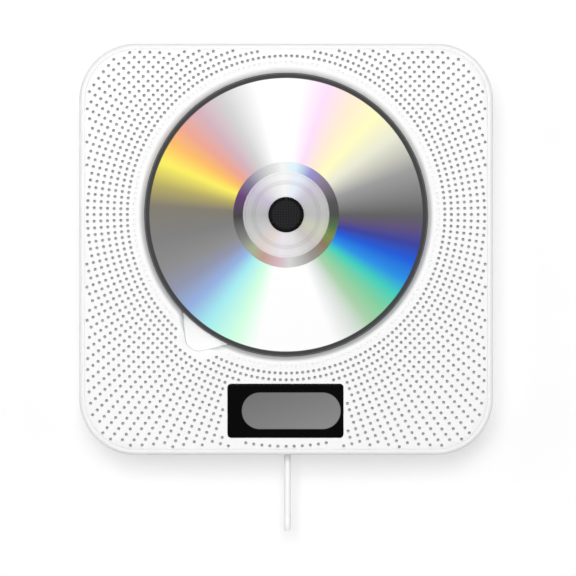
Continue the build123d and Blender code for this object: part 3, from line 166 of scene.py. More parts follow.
end_sides = 32
end_profile = np.array([
    (1.45, -131.6), (1.55, -131.8), (1.55, -137.6), (1.47, -137.87), (1.28, -138.0),
]) * mm
end_rows = np.array([
    [(cord_x + radius * x, cord_y + radius * y, z) for x, y in circle(end_sides)]
    for radius, z in end_profile
])
end_numbers = np.arange(len(end_profile) * end_sides).reshape(-1, end_sides)
cord_end = make_piece(
    "cord_end", end_rows.reshape(-1, 3),
    [grid_faces(len(end_profile), end_sides)[:, ::-1], end_numbers[:1], end_numbers[-1:, ::-1]], "pull",
)
cord_end.data.materials.append(cord_finish)
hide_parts("cord_tip")
print(f"cord: {(cord_heights[0] - cord_heights[-1]) / mm:.1f} mm long")

# %% [markdown]
# ## Helpers for shader nodes
#
# A small class makes shader nodes, sets their options and feeds their inputs, which keeps each network
# readable. A node group is an effect that several materials share, each with its own values.

# %% Node helpers
class Nodes:
    """A node tree, with short ways to add to it."""

    def __init__(self, tree):
        self.tree = tree

    def feed(self, sockets, values):
        """Feed sockets, by name or number, from output sockets or with plain values."""
        for key, value in values.items():
            if isinstance(value, bpy.types.NodeSocket):
                self.tree.links.new(value, sockets[key])
            else:
                sockets[key].default_value = value

    def make(self, kind, inputs=None, **options):
        """One shader node. Options are set first, since some of them change the inputs."""
        made = self.tree.nodes.new("ShaderNode" + kind)
        for name, value in options.items():
            setattr(made, name, value)
        self.feed(made.inputs, inputs or {})
        return made

    def add(self, kind, inputs=None, **options):
        """The outputs of one new shader node."""
        return self.make(kind, inputs, **options).outputs

    def math(self, operation, first, second=None, third=None, clamp=False):
        """The output of one Math node."""
        values = {i: v for i, v in enumerate((first, second, third)) if v is not None}
        return self.add("Math", values, operation=operation, use_clamp=clamp)[0]

    def map_range(self, value, low, high, to_low=0.0, to_high=1.0):
        """A value's way from low to high, as a way from to_low to to_high that stops at both ends."""
        ends = {"From Min": low, "From Max": high, "To Min": to_low, "To Max": to_high}
        return self.add("MapRange", {"Value": value, **ends})[0]

    def noise(self, vector, scale, detail):
        """The value of one Noise node."""
        return self.add("TexNoise", {"Vector": vector, "Scale": scale, "Detail": detail})["Fac"]

    def blend(self, factor, first, second):
        """The colour output of one Mix node: the first colour at factor 0, the second at 1."""
        return self.add("Mix", {0: factor, 6: first, 7: second}, data_type="RGBA")[2]


def start_group(name, inputs, outputs):
    """A node group's nodes, with its input and output sockets. Every group has a Vector input.

    Inputs are (name, kind, value), outputs (name, kind)."""
    tree = bpy.data.node_groups.new(name, "ShaderNodeTree")
    for label, kind, value in [("Vector", "Vector", (0, 0, 0)), *inputs]:
        socket = tree.interface.new_socket(name=label, in_out="INPUT", socket_type="NodeSocket" + kind)
        socket.default_value = value
    for label, kind in outputs:
        tree.interface.new_socket(name=label, in_out="OUTPUT", socket_type="NodeSocket" + kind)
    return Nodes(tree), tree.nodes.new("NodeGroupInput").outputs, tree.nodes.new("NodeGroupOutput").inputs


# %% [markdown]
# ## Finishes that several materials share
#
# Moulded plastic has a very fine grain from the mould and a tone that wanders a little. Dust lies on what
# faces up. Metal shows the streaks of the tool that cut it. Each effect is one node group that puts out
# only a colour, a mask or a height, and each material decides what to do with it.

# %% Group: grain of a moulded surface
black = (0.0, 0.0, 0.0, 1)


def wandering(nodes, g_in, pattern):
    """The roughness given to a group, moved up and down by a pattern that runs from 0 to 1."""
    swing = nodes.math("SUBTRACT", pattern, 0.5)
    return nodes.math("MULTIPLY_ADD", swing, g_in["Roughness Spread"], g_in["Roughness"], clamp=True)


nodes, g_in, g_out = start_group(
    "moulded_grain",
    [("Colour", "Color", (0.8, 0.8, 0.8, 1)), ("Grain Scale", "Float", 2600.0),
     ("Tone Depth", "Float", 0.04), ("Roughness", "Float", 0.45), ("Roughness Spread", "Float", 0.12)],
    [("Colour", "Color"), ("Roughness", "Float"), ("Height", "Float")],
)
fine = nodes.noise(g_in["Vector"], g_in["Grain Scale"], 2.0)
shade = nodes.math("MULTIPLY", nodes.noise(g_in["Vector"], 28.0, 3.0), g_in["Tone Depth"])
nodes.feed(g_out, {
    "Colour": nodes.blend(shade, g_in["Colour"], black),
    "Roughness": wandering(nodes, g_in, fine),
    "Height": fine,
})
grain_group = nodes.tree

# %% Group: dust that has settled on what faces up
nodes, g_in, g_out = start_group("settled_dust", [("Amount", "Float", 0.2)], [("Mask", "Float")])
upward = nodes.add("SeparateXYZ", {0: nodes.add("NewGeometry")["Normal"]})["Z"]
patches = nodes.map_range(nodes.noise(g_in["Vector"], 160.0, 5.0), 0.35, 0.75)
lying = nodes.math("MULTIPLY", nodes.map_range(upward, 0.25, 1.0), patches)
nodes.feed(g_out, {"Mask": nodes.math("MULTIPLY", lying, g_in["Amount"], clamp=True)})
dust_group = nodes.tree

# %% Group: streaks of a tool
nodes, g_in, g_out = start_group(
    "tool_streaks",
    [("Stretch", "Vector", (20.0, 900.0, 900.0)), ("Colour", "Color", (0.6, 0.6, 0.6, 1)),
     ("Depth", "Float", 0.25), ("Roughness", "Float", 0.32), ("Roughness Spread", "Float", 0.2)],
    [("Colour", "Color"), ("Roughness", "Float"), ("Height", "Float")],
)
stretched = nodes.add("VectorMath", {0: g_in["Vector"], 1: g_in["Stretch"]}, operation="MULTIPLY")[0]
lines = nodes.noise(stretched, 1.0, 4.0)
darker = nodes.math("MULTIPLY", lines, g_in["Depth"])
nodes.feed(g_out, {
    "Colour": nodes.blend(darker, g_in["Colour"], (0.02, 0.02, 0.02, 1)),
    "Roughness": wandering(nodes, g_in, lines),
    "Height": lines,
})
streak_group = nodes.tree

# %% Group: threads of a plain weave
nodes, g_in, g_out = start_group(
    "plain_weave",
    [("Threads per Metre", "Float", 1600.0), ("Colour", "Color", (0.2, 0.2, 0.2, 1))],
    [("Colour", "Color"), ("Height", "Float")],
)
scaled = nodes.add(
    "VectorMath", {0: g_in["Vector"], "Scale": g_in["Threads per Metre"]}, operation="SCALE"
)[0]
axes = nodes.add("SeparateXYZ", {0: scaled})
waves = [nodes.math("SINE", nodes.math("MULTIPLY", axes[axis], pi)) for axis in ("X", "Z")]
thread = nodes.math("MAXIMUM", *(nodes.math("ABSOLUTE", wave) for wave in waves))
gaps = nodes.math("SUBTRACT", 1.0, nodes.math("MULTIPLY", thread, 0.75))
nodes.feed(g_out, {"Colour": nodes.blend(gaps, g_in["Colour"], black), "Height": thread})
weave_group = nodes.tree

# %% Group: fine rings round an axis
nodes, g_in, g_out = start_group(
    "fine_rings", [("Rings per Metre", "Float", 2500.0)], [("Radius", "Float"), ("Height", "Float")]
)
axes = nodes.add("SeparateXYZ", {0: g_in["Vector"]})
flat = nodes.add("CombineXYZ", {"X": axes["X"], "Y": axes["Z"]})[0]
reach = nodes.add("VectorMath", {0: flat}, operation="LENGTH")["Value"]
turns = nodes.math("MULTIPLY", nodes.math("MULTIPLY", reach, g_in["Rings per Metre"]), 2 * pi)
wave = nodes.math("MULTIPLY_ADD", nodes.math("SINE", turns), 0.5, 0.5)
nodes.feed(g_out, {"Radius": reach, "Height": wave})
ring_group = nodes.tree
print("shared groups:", [g.name for g in bpy.data.node_groups])

# %% [markdown]
# ## Materials for the carried-over solids
#
# One material is made for each finish. A plastic is a Principled shader whose colour and roughness come
# through the grain group, with a faint bump and a little dust on top.

# %% Material makers
class Surface(Nodes):
    """The nodes of a material, new or begun before: its Principled shader and its Object coordinates."""

    def __init__(self, name, **settings):
        self.material = bpy.data.materials.get(name) or bpy.data.materials.new(name)
        self.material.use_nodes = True
        super().__init__(self.material.node_tree)
        self.inputs = self.tree.nodes["Principled BSDF"].inputs
        self.dress(**settings)
        self.place = self.add("TexCoord")["Object"]

    def dress(self, **values):
        """Feed the shader's inputs, named with underscores for their spaces."""
        self.feed(self.inputs, {key.replace("_", " "): value for key, value in values.items()})

    def share(self, group, values):
        """The outputs of a shared group, placed here with this material's values."""
        return self.add("Group", {"Vector": self.place, **values}, node_tree=group)

    def bump(self, height, strength, depth):
        """A Bump node that feeds the shader's normal. Depth is the height of the relief in metres."""
        bump = self.add("Bump", {"Strength": strength, "Distance": depth, "Height": height})
        self.dress(Normal=bump["Normal"])

    def grained(self, colour, roughness, grain=2600.0, tone=0.04, spread=0.12):
        """Colour and roughness through the grain group. The colour is three numbers or a socket."""
        plain = not isinstance(colour, bpy.types.NodeSocket)
        made = self.share(grain_group, {
            "Colour": (*colour, 1) if plain else colour, "Grain Scale": grain, "Tone Depth": tone,
            "Roughness": roughness, "Roughness Spread": spread,
        })
        self.dress(Base_Color=made["Colour"], Roughness=made["Roughness"])
        return made

    def woven(self, colour, threads, strength, depth):
        """Colour and relief through the weave group, with the number of threads to the metre."""
        made = self.share(weave_group, {"Threads per Metre": threads, "Colour": (*colour, 1)})
        self.dress(Base_Color=made["Colour"])
        self.bump(made["Height"], strength, depth)


def plastic(name, colour, roughness, grain=2600.0, tone=0.04, bump=0.25, dust=0.0, tint=None, **settings):
    """Moulded plastic: a grained surface of one colour, with dust on what faces up.

    A tint is a function of the surface and its colour, and gives the changed colour."""
    surface = Surface(name, **settings)
    grained = surface.grained(colour, roughness, grain, tone)
    lying = surface.share(dust_group, {"Amount": dust})["Mask"]
    body_colour = tint(surface, grained["Colour"]) if tint else grained["Colour"]
    surface.dress(Base_Color=surface.blend(lying, body_colour, (0.62, 0.60, 0.57, 1)))
    surface.bump(grained["Height"], bump, 0.03 * mm)
    return surface.material


def metal(name, colour, roughness, stretch=(20.0, 900.0, 900.0), depth=0.25):
    """Worked metal: streaks of the tool in its tone, its roughness and its relief."""
    surface = Surface(name, Metallic=1.0)
    streaks = surface.share(
        streak_group, {"Stretch": stretch, "Colour": (*colour, 1), "Depth": depth, "Roughness": roughness}
    )
    surface.dress(Base_Color=streaks["Colour"], Roughness=streaks["Roughness"])
    surface.bump(streaks["Height"], 0.2, 0.02 * mm)
    return surface.material


# %% Plastics
white = (0.93, 0.93, 0.935)
finishes = {
    "white_plastic": plastic("white_moulding", white, 0.42, tone=0.02, bump=0.15, dust=0.05),
    "bracket_plastic": plastic("bracket_moulding", (0.80, 0.80, 0.79), 0.55, grain=1500.0, tone=0.06),
    "black_plastic": plastic("black_moulding", (0.018, 0.018, 0.020), 0.38, tone=0.3, dust=0.06),
    "mechanism_plastic": plastic("mechanism_moulding", (0.045, 0.046, 0.05), 0.5, tone=0.25, dust=0.1),
    "gear_plastic": plastic("gear_moulding", (0.86, 0.84, 0.78), 0.4, grain=1900.0, tone=0.05),
    "rubber": plastic("soft_rubber", (0.60, 0.60, 0.59), 0.75, grain=1200.0, tone=0.12, bump=0.4),
    "foam": plastic("open_foam", (0.10, 0.10, 0.10), 0.95, grain=900.0, tone=0.4, bump=0.9),
    "cord_white": plastic(
        "cord_sleeve", (0.97, 0.97, 0.975), 0.45, grain=1800.0, tone=0.01,
        Coat_Weight=1.0, Coat_Roughness=0.38,
    ),
    "speaker_cone": plastic("cone_paper", (0.07, 0.07, 0.072), 0.9, grain=700.0, tone=0.35, bump=0.6),
    "components": plastic("component_bodies", (0.03, 0.03, 0.032), 0.5, grain=1500.0, tone=0.3),
    "display": plastic("display_panel", (0.10, 0.11, 0.11), 0.3, grain=1200.0, tone=0.2, bump=0.1),
    "lens_plastic": plastic("lens_blank", (0.01, 0.01, 0.011), 0.15, tone=0.2, bump=0.02),
    "disc_plastic": plastic("disc_blank", (0.6, 0.6, 0.62), 0.3, tone=0.1, bump=0.02),
}

# %% Metals
finishes["steel"] = metal("bright_steel", (0.62, 0.61, 0.60), 0.30)
finishes["speaker_basket"] = metal("basket_steel", (0.30, 0.30, 0.31), 0.42, (300.0, 300.0, 300.0))
finishes["magnet"] = metal("magnet_ferrite", (0.10, 0.10, 0.105), 0.6, (600.0, 60.0, 600.0), 0.4)
print("plastics and metals:", len(finishes))

# %% [markdown]
# ## Cloth, boards and optics
#
# Behind the panel lies a thin pale cloth that keeps dust out and lets sound through: a plain weave, made
# of two crossed waves. The boards have copper tracks under a green lacquer, drawn here by a brick
# pattern, and the pickup's lens is clear glass with a faint blue coating.

# %% Cloth, circuit board and pickup's lens
cloth = Surface("acoustic_cloth", Roughness=0.95)
cloth.woven((0.88, 0.88, 0.89), 2000.0, 0.5, 0.08 * mm)
finishes["cloth"] = cloth.material

board = Surface("lacquered_board", Coat_Weight=0.4, Coat_Roughness=0.2)
axes = board.add("SeparateXYZ", {0: board.place})
tracks = board.add("TexBrick", {
    "Vector": board.add("CombineXYZ", {"X": axes["X"], "Y": axes["Z"]})[0],
    "Color1": (0.012, 0.13, 0.055, 1), "Color2": (0.010, 0.10, 0.045, 1), "Mortar": (0.03, 0.22, 0.09, 1),
    "Scale": 180.0, "Mortar Size": 0.03,
})
board.grained(tracks["Color"], 0.45, grain=900.0, tone=0.3)
board.bump(tracks["Fac"], 0.3, 0.03 * mm)
finishes["circuit_board"] = board.material

glass = Surface("coated_glass", Transmission_Weight=0.85, IOR=1.5)
glass.grained((0.72, 0.82, 0.97), 0.06, grain=600.0, tone=0.1, spread=0.03)
finishes["objective_glass"] = glass.material

# %% [markdown]
# Each solid's slot holds a placeholder with the name of its finish. The real material takes its place.

# %% Give every solid its finish
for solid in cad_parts.values():
    for slot, placeholder in enumerate(solid.data.materials):
        solid.data.materials[slot] = finishes[placeholder.name.split(".")[0]]
print("solids dressed:", len(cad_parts))

# %% [markdown]
# ## The perforated panel
#
# The real panel is one white moulding: a flat face with about sixteen hundred small round holes, which
# run in straight rays and in rings round the disc. The lip of the well rolls inwards, and at the lower
# left it opens into a notch for a finger.
#
# Booleans would be slow here and leave poor faces. Instead, the outlines of the sheet and of all holes
# are arrays, one constrained triangulation fills the sheet between them, and the walls of the holes are
# a grid of quads from the front sheet to the back.

# %% Sizes of the panel
Rectangle = namedtuple("Rectangle", "centre size corner")
body = Rectangle(np.array([0.0, -18.0]), np.array([175.0, 174.0]), 24.0)
opening = Rectangle(np.array([-0.27, -86.35]), np.array([49.15, 22.95]), 1.6)
face_depth, panel_back, disc_z = 41.0, 38.95, -3.4
seam, edge_round = 2.32, 0.12
well_radius, lip_width, lip_end, lip_power, skirt = 60.1, 2.4, 38.8, 2.5, 0.6
notch_direction, notch_apex, notch_half_angle = radians(234.5), 72.5, radians(41)
notch_round, notch_blend = 6.0, 3.0
hole_radius, hole_sides = 0.68, 12
holes_per_ring, first_ring, ring_pitch, ring_count = 180, 67.1, 2.81, 24
rim_margin, opening_margin, notch_margin, lip_margin, dimple_share = 3.2, 1.45, 3.3, 1.2, 1.1
dimple_depth, bowl_width, bowl_depth = 0.3, 0.62, 0.75


# %% Outlines as functions
def rectangle_outline(shape, inset=0.0, steps=16):
    """Points anticlockwise round a rectangle with round corners, moved inwards by an inset.

    Each corner is a quarter circle: its centre plus the radius times the cosine and sine of the turn. The
    inset is taken from the radius, and the centres stay."""
    turn = np.linspace(0, pi / 2, steps)[None, :] + np.arange(4)[:, None] * pi / 2
    side = np.array([[1, 1], [-1, 1], [-1, -1], [1, -1]])[:, None, :]
    centre = side * (shape.size / 2 - shape.corner)
    return (centre + (shape.corner - inset) * unit(turn)).reshape(-1, 2) + shape.centre


def arc(centre, radius, start, end, steps):
    """Points on a circle: the centre plus the radius times the cosine and sine of the angle."""
    return np.asarray(centre) + radius * unit(np.linspace(start, end, steps))


circle_count, blend_count, side_count, tip_count = 239, 10, 8, 28
lip_steps, lost_at_tip = 8, 0.9


def well_outline(outward=0.0):
    """The well's opening with its notch, anticlockwise round the disc axis, moved outwards by a distance.

    A large circle meets two straight sides through small blends of the opposite curve, and the sides end
    in a round tip. Moving the outline outwards keeps every centre, adds the distance to the radii of the
    circle and the tip, and takes it from the blends. It is worked out with the notch along the first
    axis and turned to its direction at the end."""
    rise, run = sin(notch_half_angle), cos(notch_half_angle)
    side_offset = notch_apex * rise
    outward_axis, along_axis = np.array([rise, run]), np.array([-run, rise])
    reach = sqrt((well_radius + notch_blend) ** 2 - (side_offset + notch_blend) ** 2)
    blend = (side_offset + notch_blend) * outward_axis - reach * along_axis
    meeting = atan2(blend[1], blend[0])
    leaving = atan2(-outward_axis[1], -outward_axis[0])
    tip = np.array([notch_apex - notch_round / rise, 0.0])
    half_tip = pi / 2 - notch_half_angle
    upper_blend = arc(blend, notch_blend - outward, leaving + 2 * pi, meeting + pi, blend_count)
    end = arc(tip, notch_round + outward, -half_tip, half_tip, tip_count)
    share = np.linspace(0, 1, side_count + 2)[1:-1, None]
    upper = np.concatenate([end[-1] + share * (upper_blend[0] - end[-1]), upper_blend])
    rim = arc((0, 0), well_radius + outward, meeting, 2 * pi - meeting, circle_count + 1)
    points = np.concatenate([rim[:-1], upper[::-1] * np.array([1.0, -1.0]), end, upper[:-1]])
    along, across = cos(notch_direction), sin(notch_direction)
    return points @ np.array([[along, across], [-across, along]])


def at_disc(points):
    """Points round the disc's axis, moved to where that axis is on the player."""
    return points + np.array([0, disc_z])


fade = np.linspace(0, 1, side_count)
narrowing = 1 - lost_at_tip * fade * fade * (3 - 2 * fade)
lip_reach = np.concatenate([
    np.ones(circle_count + blend_count), narrowing, np.full(tip_count, narrowing[-1]), narrowing[::-1],
    np.ones(blend_count - 1),
])


def lip_outline(share):
    """The well's outline moved outwards by a share of the lip's width, at the player's disc axis.

    Each point lies on the line from the inner to the outer outline, at the share times its own reach.
    The lip is full round the disc, and narrows along the notch's sides to a small round at its tip."""
    inner, outer = well_outline(), well_outline(lip_width)
    return at_disc(inner + (outer - inner) * (lip_reach * share)[:, None])


def inside(points, outline):
    """Which points lie inside a closed outline.

    They are those whose ray to the right crosses the outline an odd number of times."""
    x, y = points[:, 0, None], points[:, 1, None]
    x0, y0 = outline[:, 0], outline[:, 1]
    x1, y1 = np.roll(x0, -1), np.roll(y0, -1)
    straddles = (y0 > y) != (y1 > y)
    crossing = x0 + (y - y0) * (x1 - x0) / np.where(y1 == y0, 1e-12, y1 - y0)
    return (straddles & (x < crossing)).sum(axis=1) % 2 == 1


def depth_inside(points, shape):
    """How far points lie inside a rounded rectangle's edge; negative outside it."""
    past = np.abs(points - shape.centre) - (shape.size / 2 - shape.corner)
    return shape.corner - np.hypot(*np.maximum(past, 0).T) - np.minimum(past.max(axis=1), 0)


def distance_to(points, line):
    """How far each point is from the nearest point of a line."""
    return np.hypot(*(points[:, None, :] - line[None, :, :]).T).min(axis=0)


# %% [markdown]
# The holes stand two degrees apart on rings that grow by the same step. A hole is left out where it would
# cut the rim, the window or the finger notch. One step inside the first ring, next to the lip, the mould
# leaves only shallow dimples.

# %% Places of the holes
ring_reach = first_ring + np.arange(ring_count) * ring_pitch
hole_places = at_disc((ring_reach[:, None, None] * circle(holes_per_ring)).reshape(-1, 2))
lip_edge = lip_outline(1.0)
kept = ~inside(hole_places, lip_edge)
kept &= depth_inside(hole_places, body) > rim_margin
kept &= -depth_inside(hole_places, opening) > opening_margin
kept &= distance_to(hole_places, lip_outline(0.0)[circle_count:]) > notch_margin
kept &= distance_to(hole_places, lip_edge[circle_count:]) > lip_margin
hole_places = hole_places[kept]

dimple_places = at_disc((first_ring - ring_pitch) * circle(holes_per_ring))
kept = distance_to(dimple_places, lip_edge[circle_count:]) > lip_margin
dimple_places = dimple_places[kept & ~inside(dimple_places, lip_outline(dimple_share))]
print("holes:", len(hole_places), "dimples:", len(dimple_places))


# %% Sheets and the walls between them
def fill_sheet(loops, holes):
    """A flat sheet with an outer outline, two openings and any number of holes with the same sides.

    Holes are an array of hole by corner by (x, z). A constrained triangulation fills everything, and the
    triangles inside an opening or with all their corners on one hole are dropped. Returned are the
    points, the point numbers of each loop and of each hole, and the triangles."""
    parts = [*loops, holes.reshape(-1, 2)]
    points = np.concatenate(parts)
    *loop_numbers, hole_numbers = numbered(parts)
    hole_numbers = hole_numbers.reshape(holes.shape[:2])
    edges = np.concatenate([
        np.stack([numbers, np.roll(numbers, -1, axis=-1)], axis=-1).reshape(-1, 2)
        for numbers in [*loop_numbers, hole_numbers]
    ])
    whole_hull, tolerance = 0, 1e-6
    filled = delaunay_2d_cdt(points.tolist(), edges.tolist(), [], whole_hull, tolerance)
    source = np.array([origin[0] for origin in filled[3]])
    triangles = source[np.array(filled[2])]
    owner = np.full(len(points), -1)
    owner[hole_numbers] = np.arange(len(holes))[:, None]
    owners = owner[triangles]
    in_a_hole = (owners[:, 0] >= 0) & (owners == owners[:, :1]).all(axis=1)
    centres = points[triangles].mean(axis=1)
    kept = ~in_a_hole & ~inside(centres, loops[1]) & ~inside(centres, loops[2])
    return points, loop_numbers, hole_numbers, triangles[kept]


def set_depth(points, depth):
    """Points (x, z) in millimetres at a depth in front of the wall, in metres."""
    return np.stack([points[:, 0], np.full(len(points), -float(depth)), points[:, 1]], axis=-1) * mm


def strip(upper, lower, outward):
    """Quads between two loops of point numbers. Outward says which way round the faces look."""
    after_upper, after_lower = np.roll(upper, -1, axis=-1), np.roll(lower, -1, axis=-1)
    quads = np.stack([upper, lower, after_lower, after_upper], axis=-1)
    return (quads if outward else quads[..., ::-1]).reshape(-1, 4)


def cone(ring_rows, peaks, towards_viewer):
    """Triangles from each ring of point numbers to its own middle point."""
    middle_point = np.broadcast_to(peaks[:, None], ring_rows.shape)
    painted_reflections = np.stack([middle_point, ring_rows, np.roll(ring_rows, -1, axis=-1)], axis=-1)
    return (painted_reflections if towards_viewer else painted_reflections[..., ::-1]).reshape(-1, 3)


hole_shape = hole_radius * circle(hole_sides, 0.5)
sheet_points, (rim_row, well_row, opening_row), corner_rows, sheet = fill_sheet(
    [rectangle_outline(body, seam + edge_round), lip_edge, rectangle_outline(opening, steps=6)],
    np.concatenate([hole_places, dimple_places])[:, None, :] + hole_shape,
)
print("sheet:", len(sheet), "triangles")

# %% [markdown]
# The front and back sheets share that triangulation. On the back the well's outline is smaller, because
# the lip rolls in under the face. Between them run the walls of the holes and of the window, the small
# round on the outer edge, and the lip. The lip leaves the face level and falls with the way
# inwards to the power of two and a half, so it is steepest at the disc. It ends a little deeper than the
# panel's back, in a narrow skirt. A dimple is a shallow bowl: its rim, a smaller ring below it and its
# lowest point.

# %% Assemble the panel
back_points = sheet_points.copy()
back_points[rim_row] = rectangle_outline(body, seam)
back_points[well_row] = at_disc(well_outline(skirt))
lip_rows = [
    set_depth(lip_outline(1 - share), face_depth - (face_depth - lip_end) * share ** lip_power)
    for share in np.linspace(0, 1, lip_steps + 1)[1:]
]
lip_rows.append(set_depth(back_points[well_row], lip_end))
edge_rows = [
    set_depth(rectangle_outline(body, seam + inset), face_depth - fall)
    for fall, inset in edge_round * (1 - unit(np.linspace(0, pi / 2, 4))[1:])
]
bowl_rings = (dimple_places[:, None, :] + bowl_width * hole_shape).reshape(-1, 2)
panel_parts = [
    set_depth(sheet_points, face_depth), set_depth(back_points, panel_back), *lip_rows, *edge_rows,
    set_depth(bowl_rings, face_depth - bowl_depth * dimple_depth),
    set_depth(dimple_places, face_depth - dimple_depth), set_depth(dimple_places, panel_back),
]
numbers = numbered(panel_parts)
behind = len(sheet_points)
well_rows = [well_row, *numbers[2:2 + len(lip_rows)], behind + well_row]
rim_rows = [rim_row, *numbers[2 + len(lip_rows):-3], behind + rim_row]
bowl_row, lowest, back_middles = numbers[-3].reshape(-1, hole_sides), numbers[-2], numbers[-1]
hole_rows, dimple_rows = corner_rows[:len(hole_places)], corner_rows[len(hole_places):]
panel = make_piece(
    "perforated_panel", np.concatenate(panel_parts),
    [
        sheet, sheet[:, ::-1] + behind,
        *(strip(a, b, False) for a, b in zip(well_rows, well_rows[1:])),
        *(strip(a, b, True) for a, b in zip(rim_rows, rim_rows[1:])),
        strip(opening_row, behind + opening_row, False),
        strip(hole_rows, behind + hole_rows, False),
        strip(dimple_rows, bowl_row, False), cone(bowl_row, lowest, True),
        cone(behind + dimple_rows, back_middles, False),
    ],
    "player", sharp=28,
)
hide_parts("grille_panel")

# %% Material of the panel, with painted shade in the lower lip
# Painted shade: the lip greys towards the disc, most below it, where the disc's soft shade falls.
lip_shade_full, lip_shade_most, lip_shade_way = 61.1, 0.46, (0.17, 0.0, -0.98)


def painted_lip_shade(surface, colour):
    """The moulding's colour, with painted shade down the lip.

    The painted shade stands in for the soft shade that falls into the lower lip, under the disc. It grows
    from nothing at the lip's edge to its most half way down. Round the disc it is a half plus half the
    cosine of the angle from straight down, a little to the right: most below the disc, and none above it."""
    centred = surface.add("Mapping", {
        "Vector": surface.place, "Scale": (1.0, 0.0, 1.0), "Location": (0.0, 0.0, -disc_z * mm),
    })[0]
    reach = surface.add("VectorMath", {0: centred}, operation="LENGTH")["Value"]
    down_the_lip = surface.map_range(reach, lip_shade_full * mm, (well_radius + lip_width) * mm, 1.0, 0.0)
    direction = surface.add("VectorMath", {0: centred}, operation="NORMALIZE")[0]
    along = surface.add("VectorMath", {0: direction, 1: lip_shade_way}, operation="DOT_PRODUCT")["Value"]
    below = surface.math("MULTIPLY_ADD", along, 0.5, 0.5)
    amount = surface.math("MULTIPLY", surface.math("MULTIPLY", down_the_lip, below), lip_shade_most)
    return surface.blend(amount, colour, black)


panel.data.materials.append(
    plastic("panel_moulding", white, 0.42, tone=0.02, bump=0.15, dust=0.05, tint=painted_lip_shade)
)

# %% [markdown]
# ## The finger notch
#
# Below the lip, the notch is a small pocket: an outer wall that follows the outline down to a floor level
# with the deck. It is a closed profile of six corners, carried along the part of the outline that lies
# beyond the deck. Both ends are capped. A thin tongue carries the white floor on over the deck's rim, to
# just behind the disc's edge.

# %% Pocket and floor of the notch
pocket_reach, pocket_wall, notch_floor, notch_underside = 61.75, 1.2, 36.0, 34.8
tongue_reach, tongue_margin, tongue_top, tongue_bottom = 60.15, 0.3, 36.3, 36.05
notch_line, notch_outside = well_outline()[circle_count:], well_outline(pocket_wall)[circle_count:]


def pulled_in(line, radius):
    """The points of a line, each moved along its ray to a radius round the disc's axis."""
    return line * (radius / np.hypot(*line.T))[:, None]


def carried(name, profile, caps):
    """A closed profile, carried along the notch. Each of its corners is a line with a depth.

    The caps are quads of corner numbers. They close the first end, and turned round the last."""
    points = np.stack([set_depth(at_disc(line), depth) for line, depth in profile], axis=1)
    steps, corners = points.shape[:2]
    caps = np.array(caps)
    faces = [grid_faces(steps, corners)[:, ::-1], caps, caps[:, ::-1] + (steps - 1) * corners]
    piece = make_piece(name, points.reshape(-1, 3), faces, "player")
    piece.data.materials.append(finishes["white_plastic"])
    return piece


beyond = np.hypot(*notch_line.T) > pocket_reach
inner_line, outer_line = notch_line[beyond], notch_outside[beyond]
floor_line = pulled_in(inner_line, pocket_reach)
pocket = carried(
    "notch_pocket",
    [(inner_line, lip_end), (inner_line, notch_floor), (floor_line, notch_floor),
     (floor_line, notch_underside), (outer_line, notch_underside), (outer_line, lip_end)],
    [[1, 4, 5, 0], [2, 3, 4, 1]],
)
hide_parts("grille_panel")

outer_line = notch_line[np.hypot(*notch_line.T) > tongue_reach + tongue_margin]
inner_line = pulled_in(outer_line, tongue_reach)
tongue = carried(
    "notch_tongue",
    [(outer_line, tongue_top), (inner_line, tongue_top), (inner_line, tongue_bottom),
     (outer_line, tongue_bottom)],
    [[0, 1, 2, 3]],
)
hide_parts("grille_panel")

# %% [markdown]
# ## The cloth behind the panel
#
# The cloth is glued to the whole of the panel's back. It is a thin flat sheet that leaves the well and
# the window open, filled like the panel's sheet, but without holes.

# %% Cloth behind the holes
cloth_front, cloth_back, cloth_inset, cloth_clearance = 38.93, 38.83, 0.4, 0.3
cloth_points, cloth_rows, _, cloth_sheet = fill_sheet(
    [rectangle_outline(body, seam + cloth_inset), at_disc(well_outline(skirt + cloth_clearance)),
     rectangle_outline(opening, -cloth_clearance, 6)],
    np.empty((0, hole_sides, 2)),
)
behind = len(cloth_points)
lining = make_piece(
    "cloth_lining",
    np.concatenate([set_depth(cloth_points, cloth_front), set_depth(cloth_points, cloth_back)]),
    [cloth_sheet, cloth_sheet[:, ::-1] + behind,
     *(strip(row, row + behind, outward) for row, outward in zip(cloth_rows, (True, False, False)))],
    "player",
)
lining.data.materials.append(finishes["cloth"])
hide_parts("grille_cloth")

# %% [markdown]
# ## The disc
#
# A compact disc is clear plastic, with a mirror layer whose fine spiral splits light into a fan of
# colours. A diffraction shader could make the fan, but there is none here, and it would change with the
# view. So the fan and the bright and dark sheen of the silver are painted into the base colour round the
# disc by angle, as stops of colour ramps: painted reflections and highlights, which turn with the disc.
# From the middle outwards come the clear hub with its moulded rings, a mirror band, the recorded area and
# a clear rim. The shape is a profile of radius and depth, turned round the disc's axis.

# %% Shape of the disc
disc_front, disc_back, disc_steps = 38.6, 37.4, 240
disc_radius, disc_hole = 59.9, 7.5
moulded_from, moulded_to, mirror_from = 12.9, 14.6, 18.3
recorded_from, recorded_to, edge_from = 22.4, 57.9, 59.6


def turned(profile, steps, centre_z):
    """A profile of (radius, depth) turned round the player's disc axis.

    The point at a turn is (radius cos turn, depth, radius sin turn), so the grid is profile by turn."""
    across, up = circle(steps).T
    radius, depth = profile[:, :1], profile[:, 1:]
    x, z = radius * across, centre_z + radius * up
    return np.stack([x, np.broadcast_to(-depth, x.shape), z], axis=-1) * mm


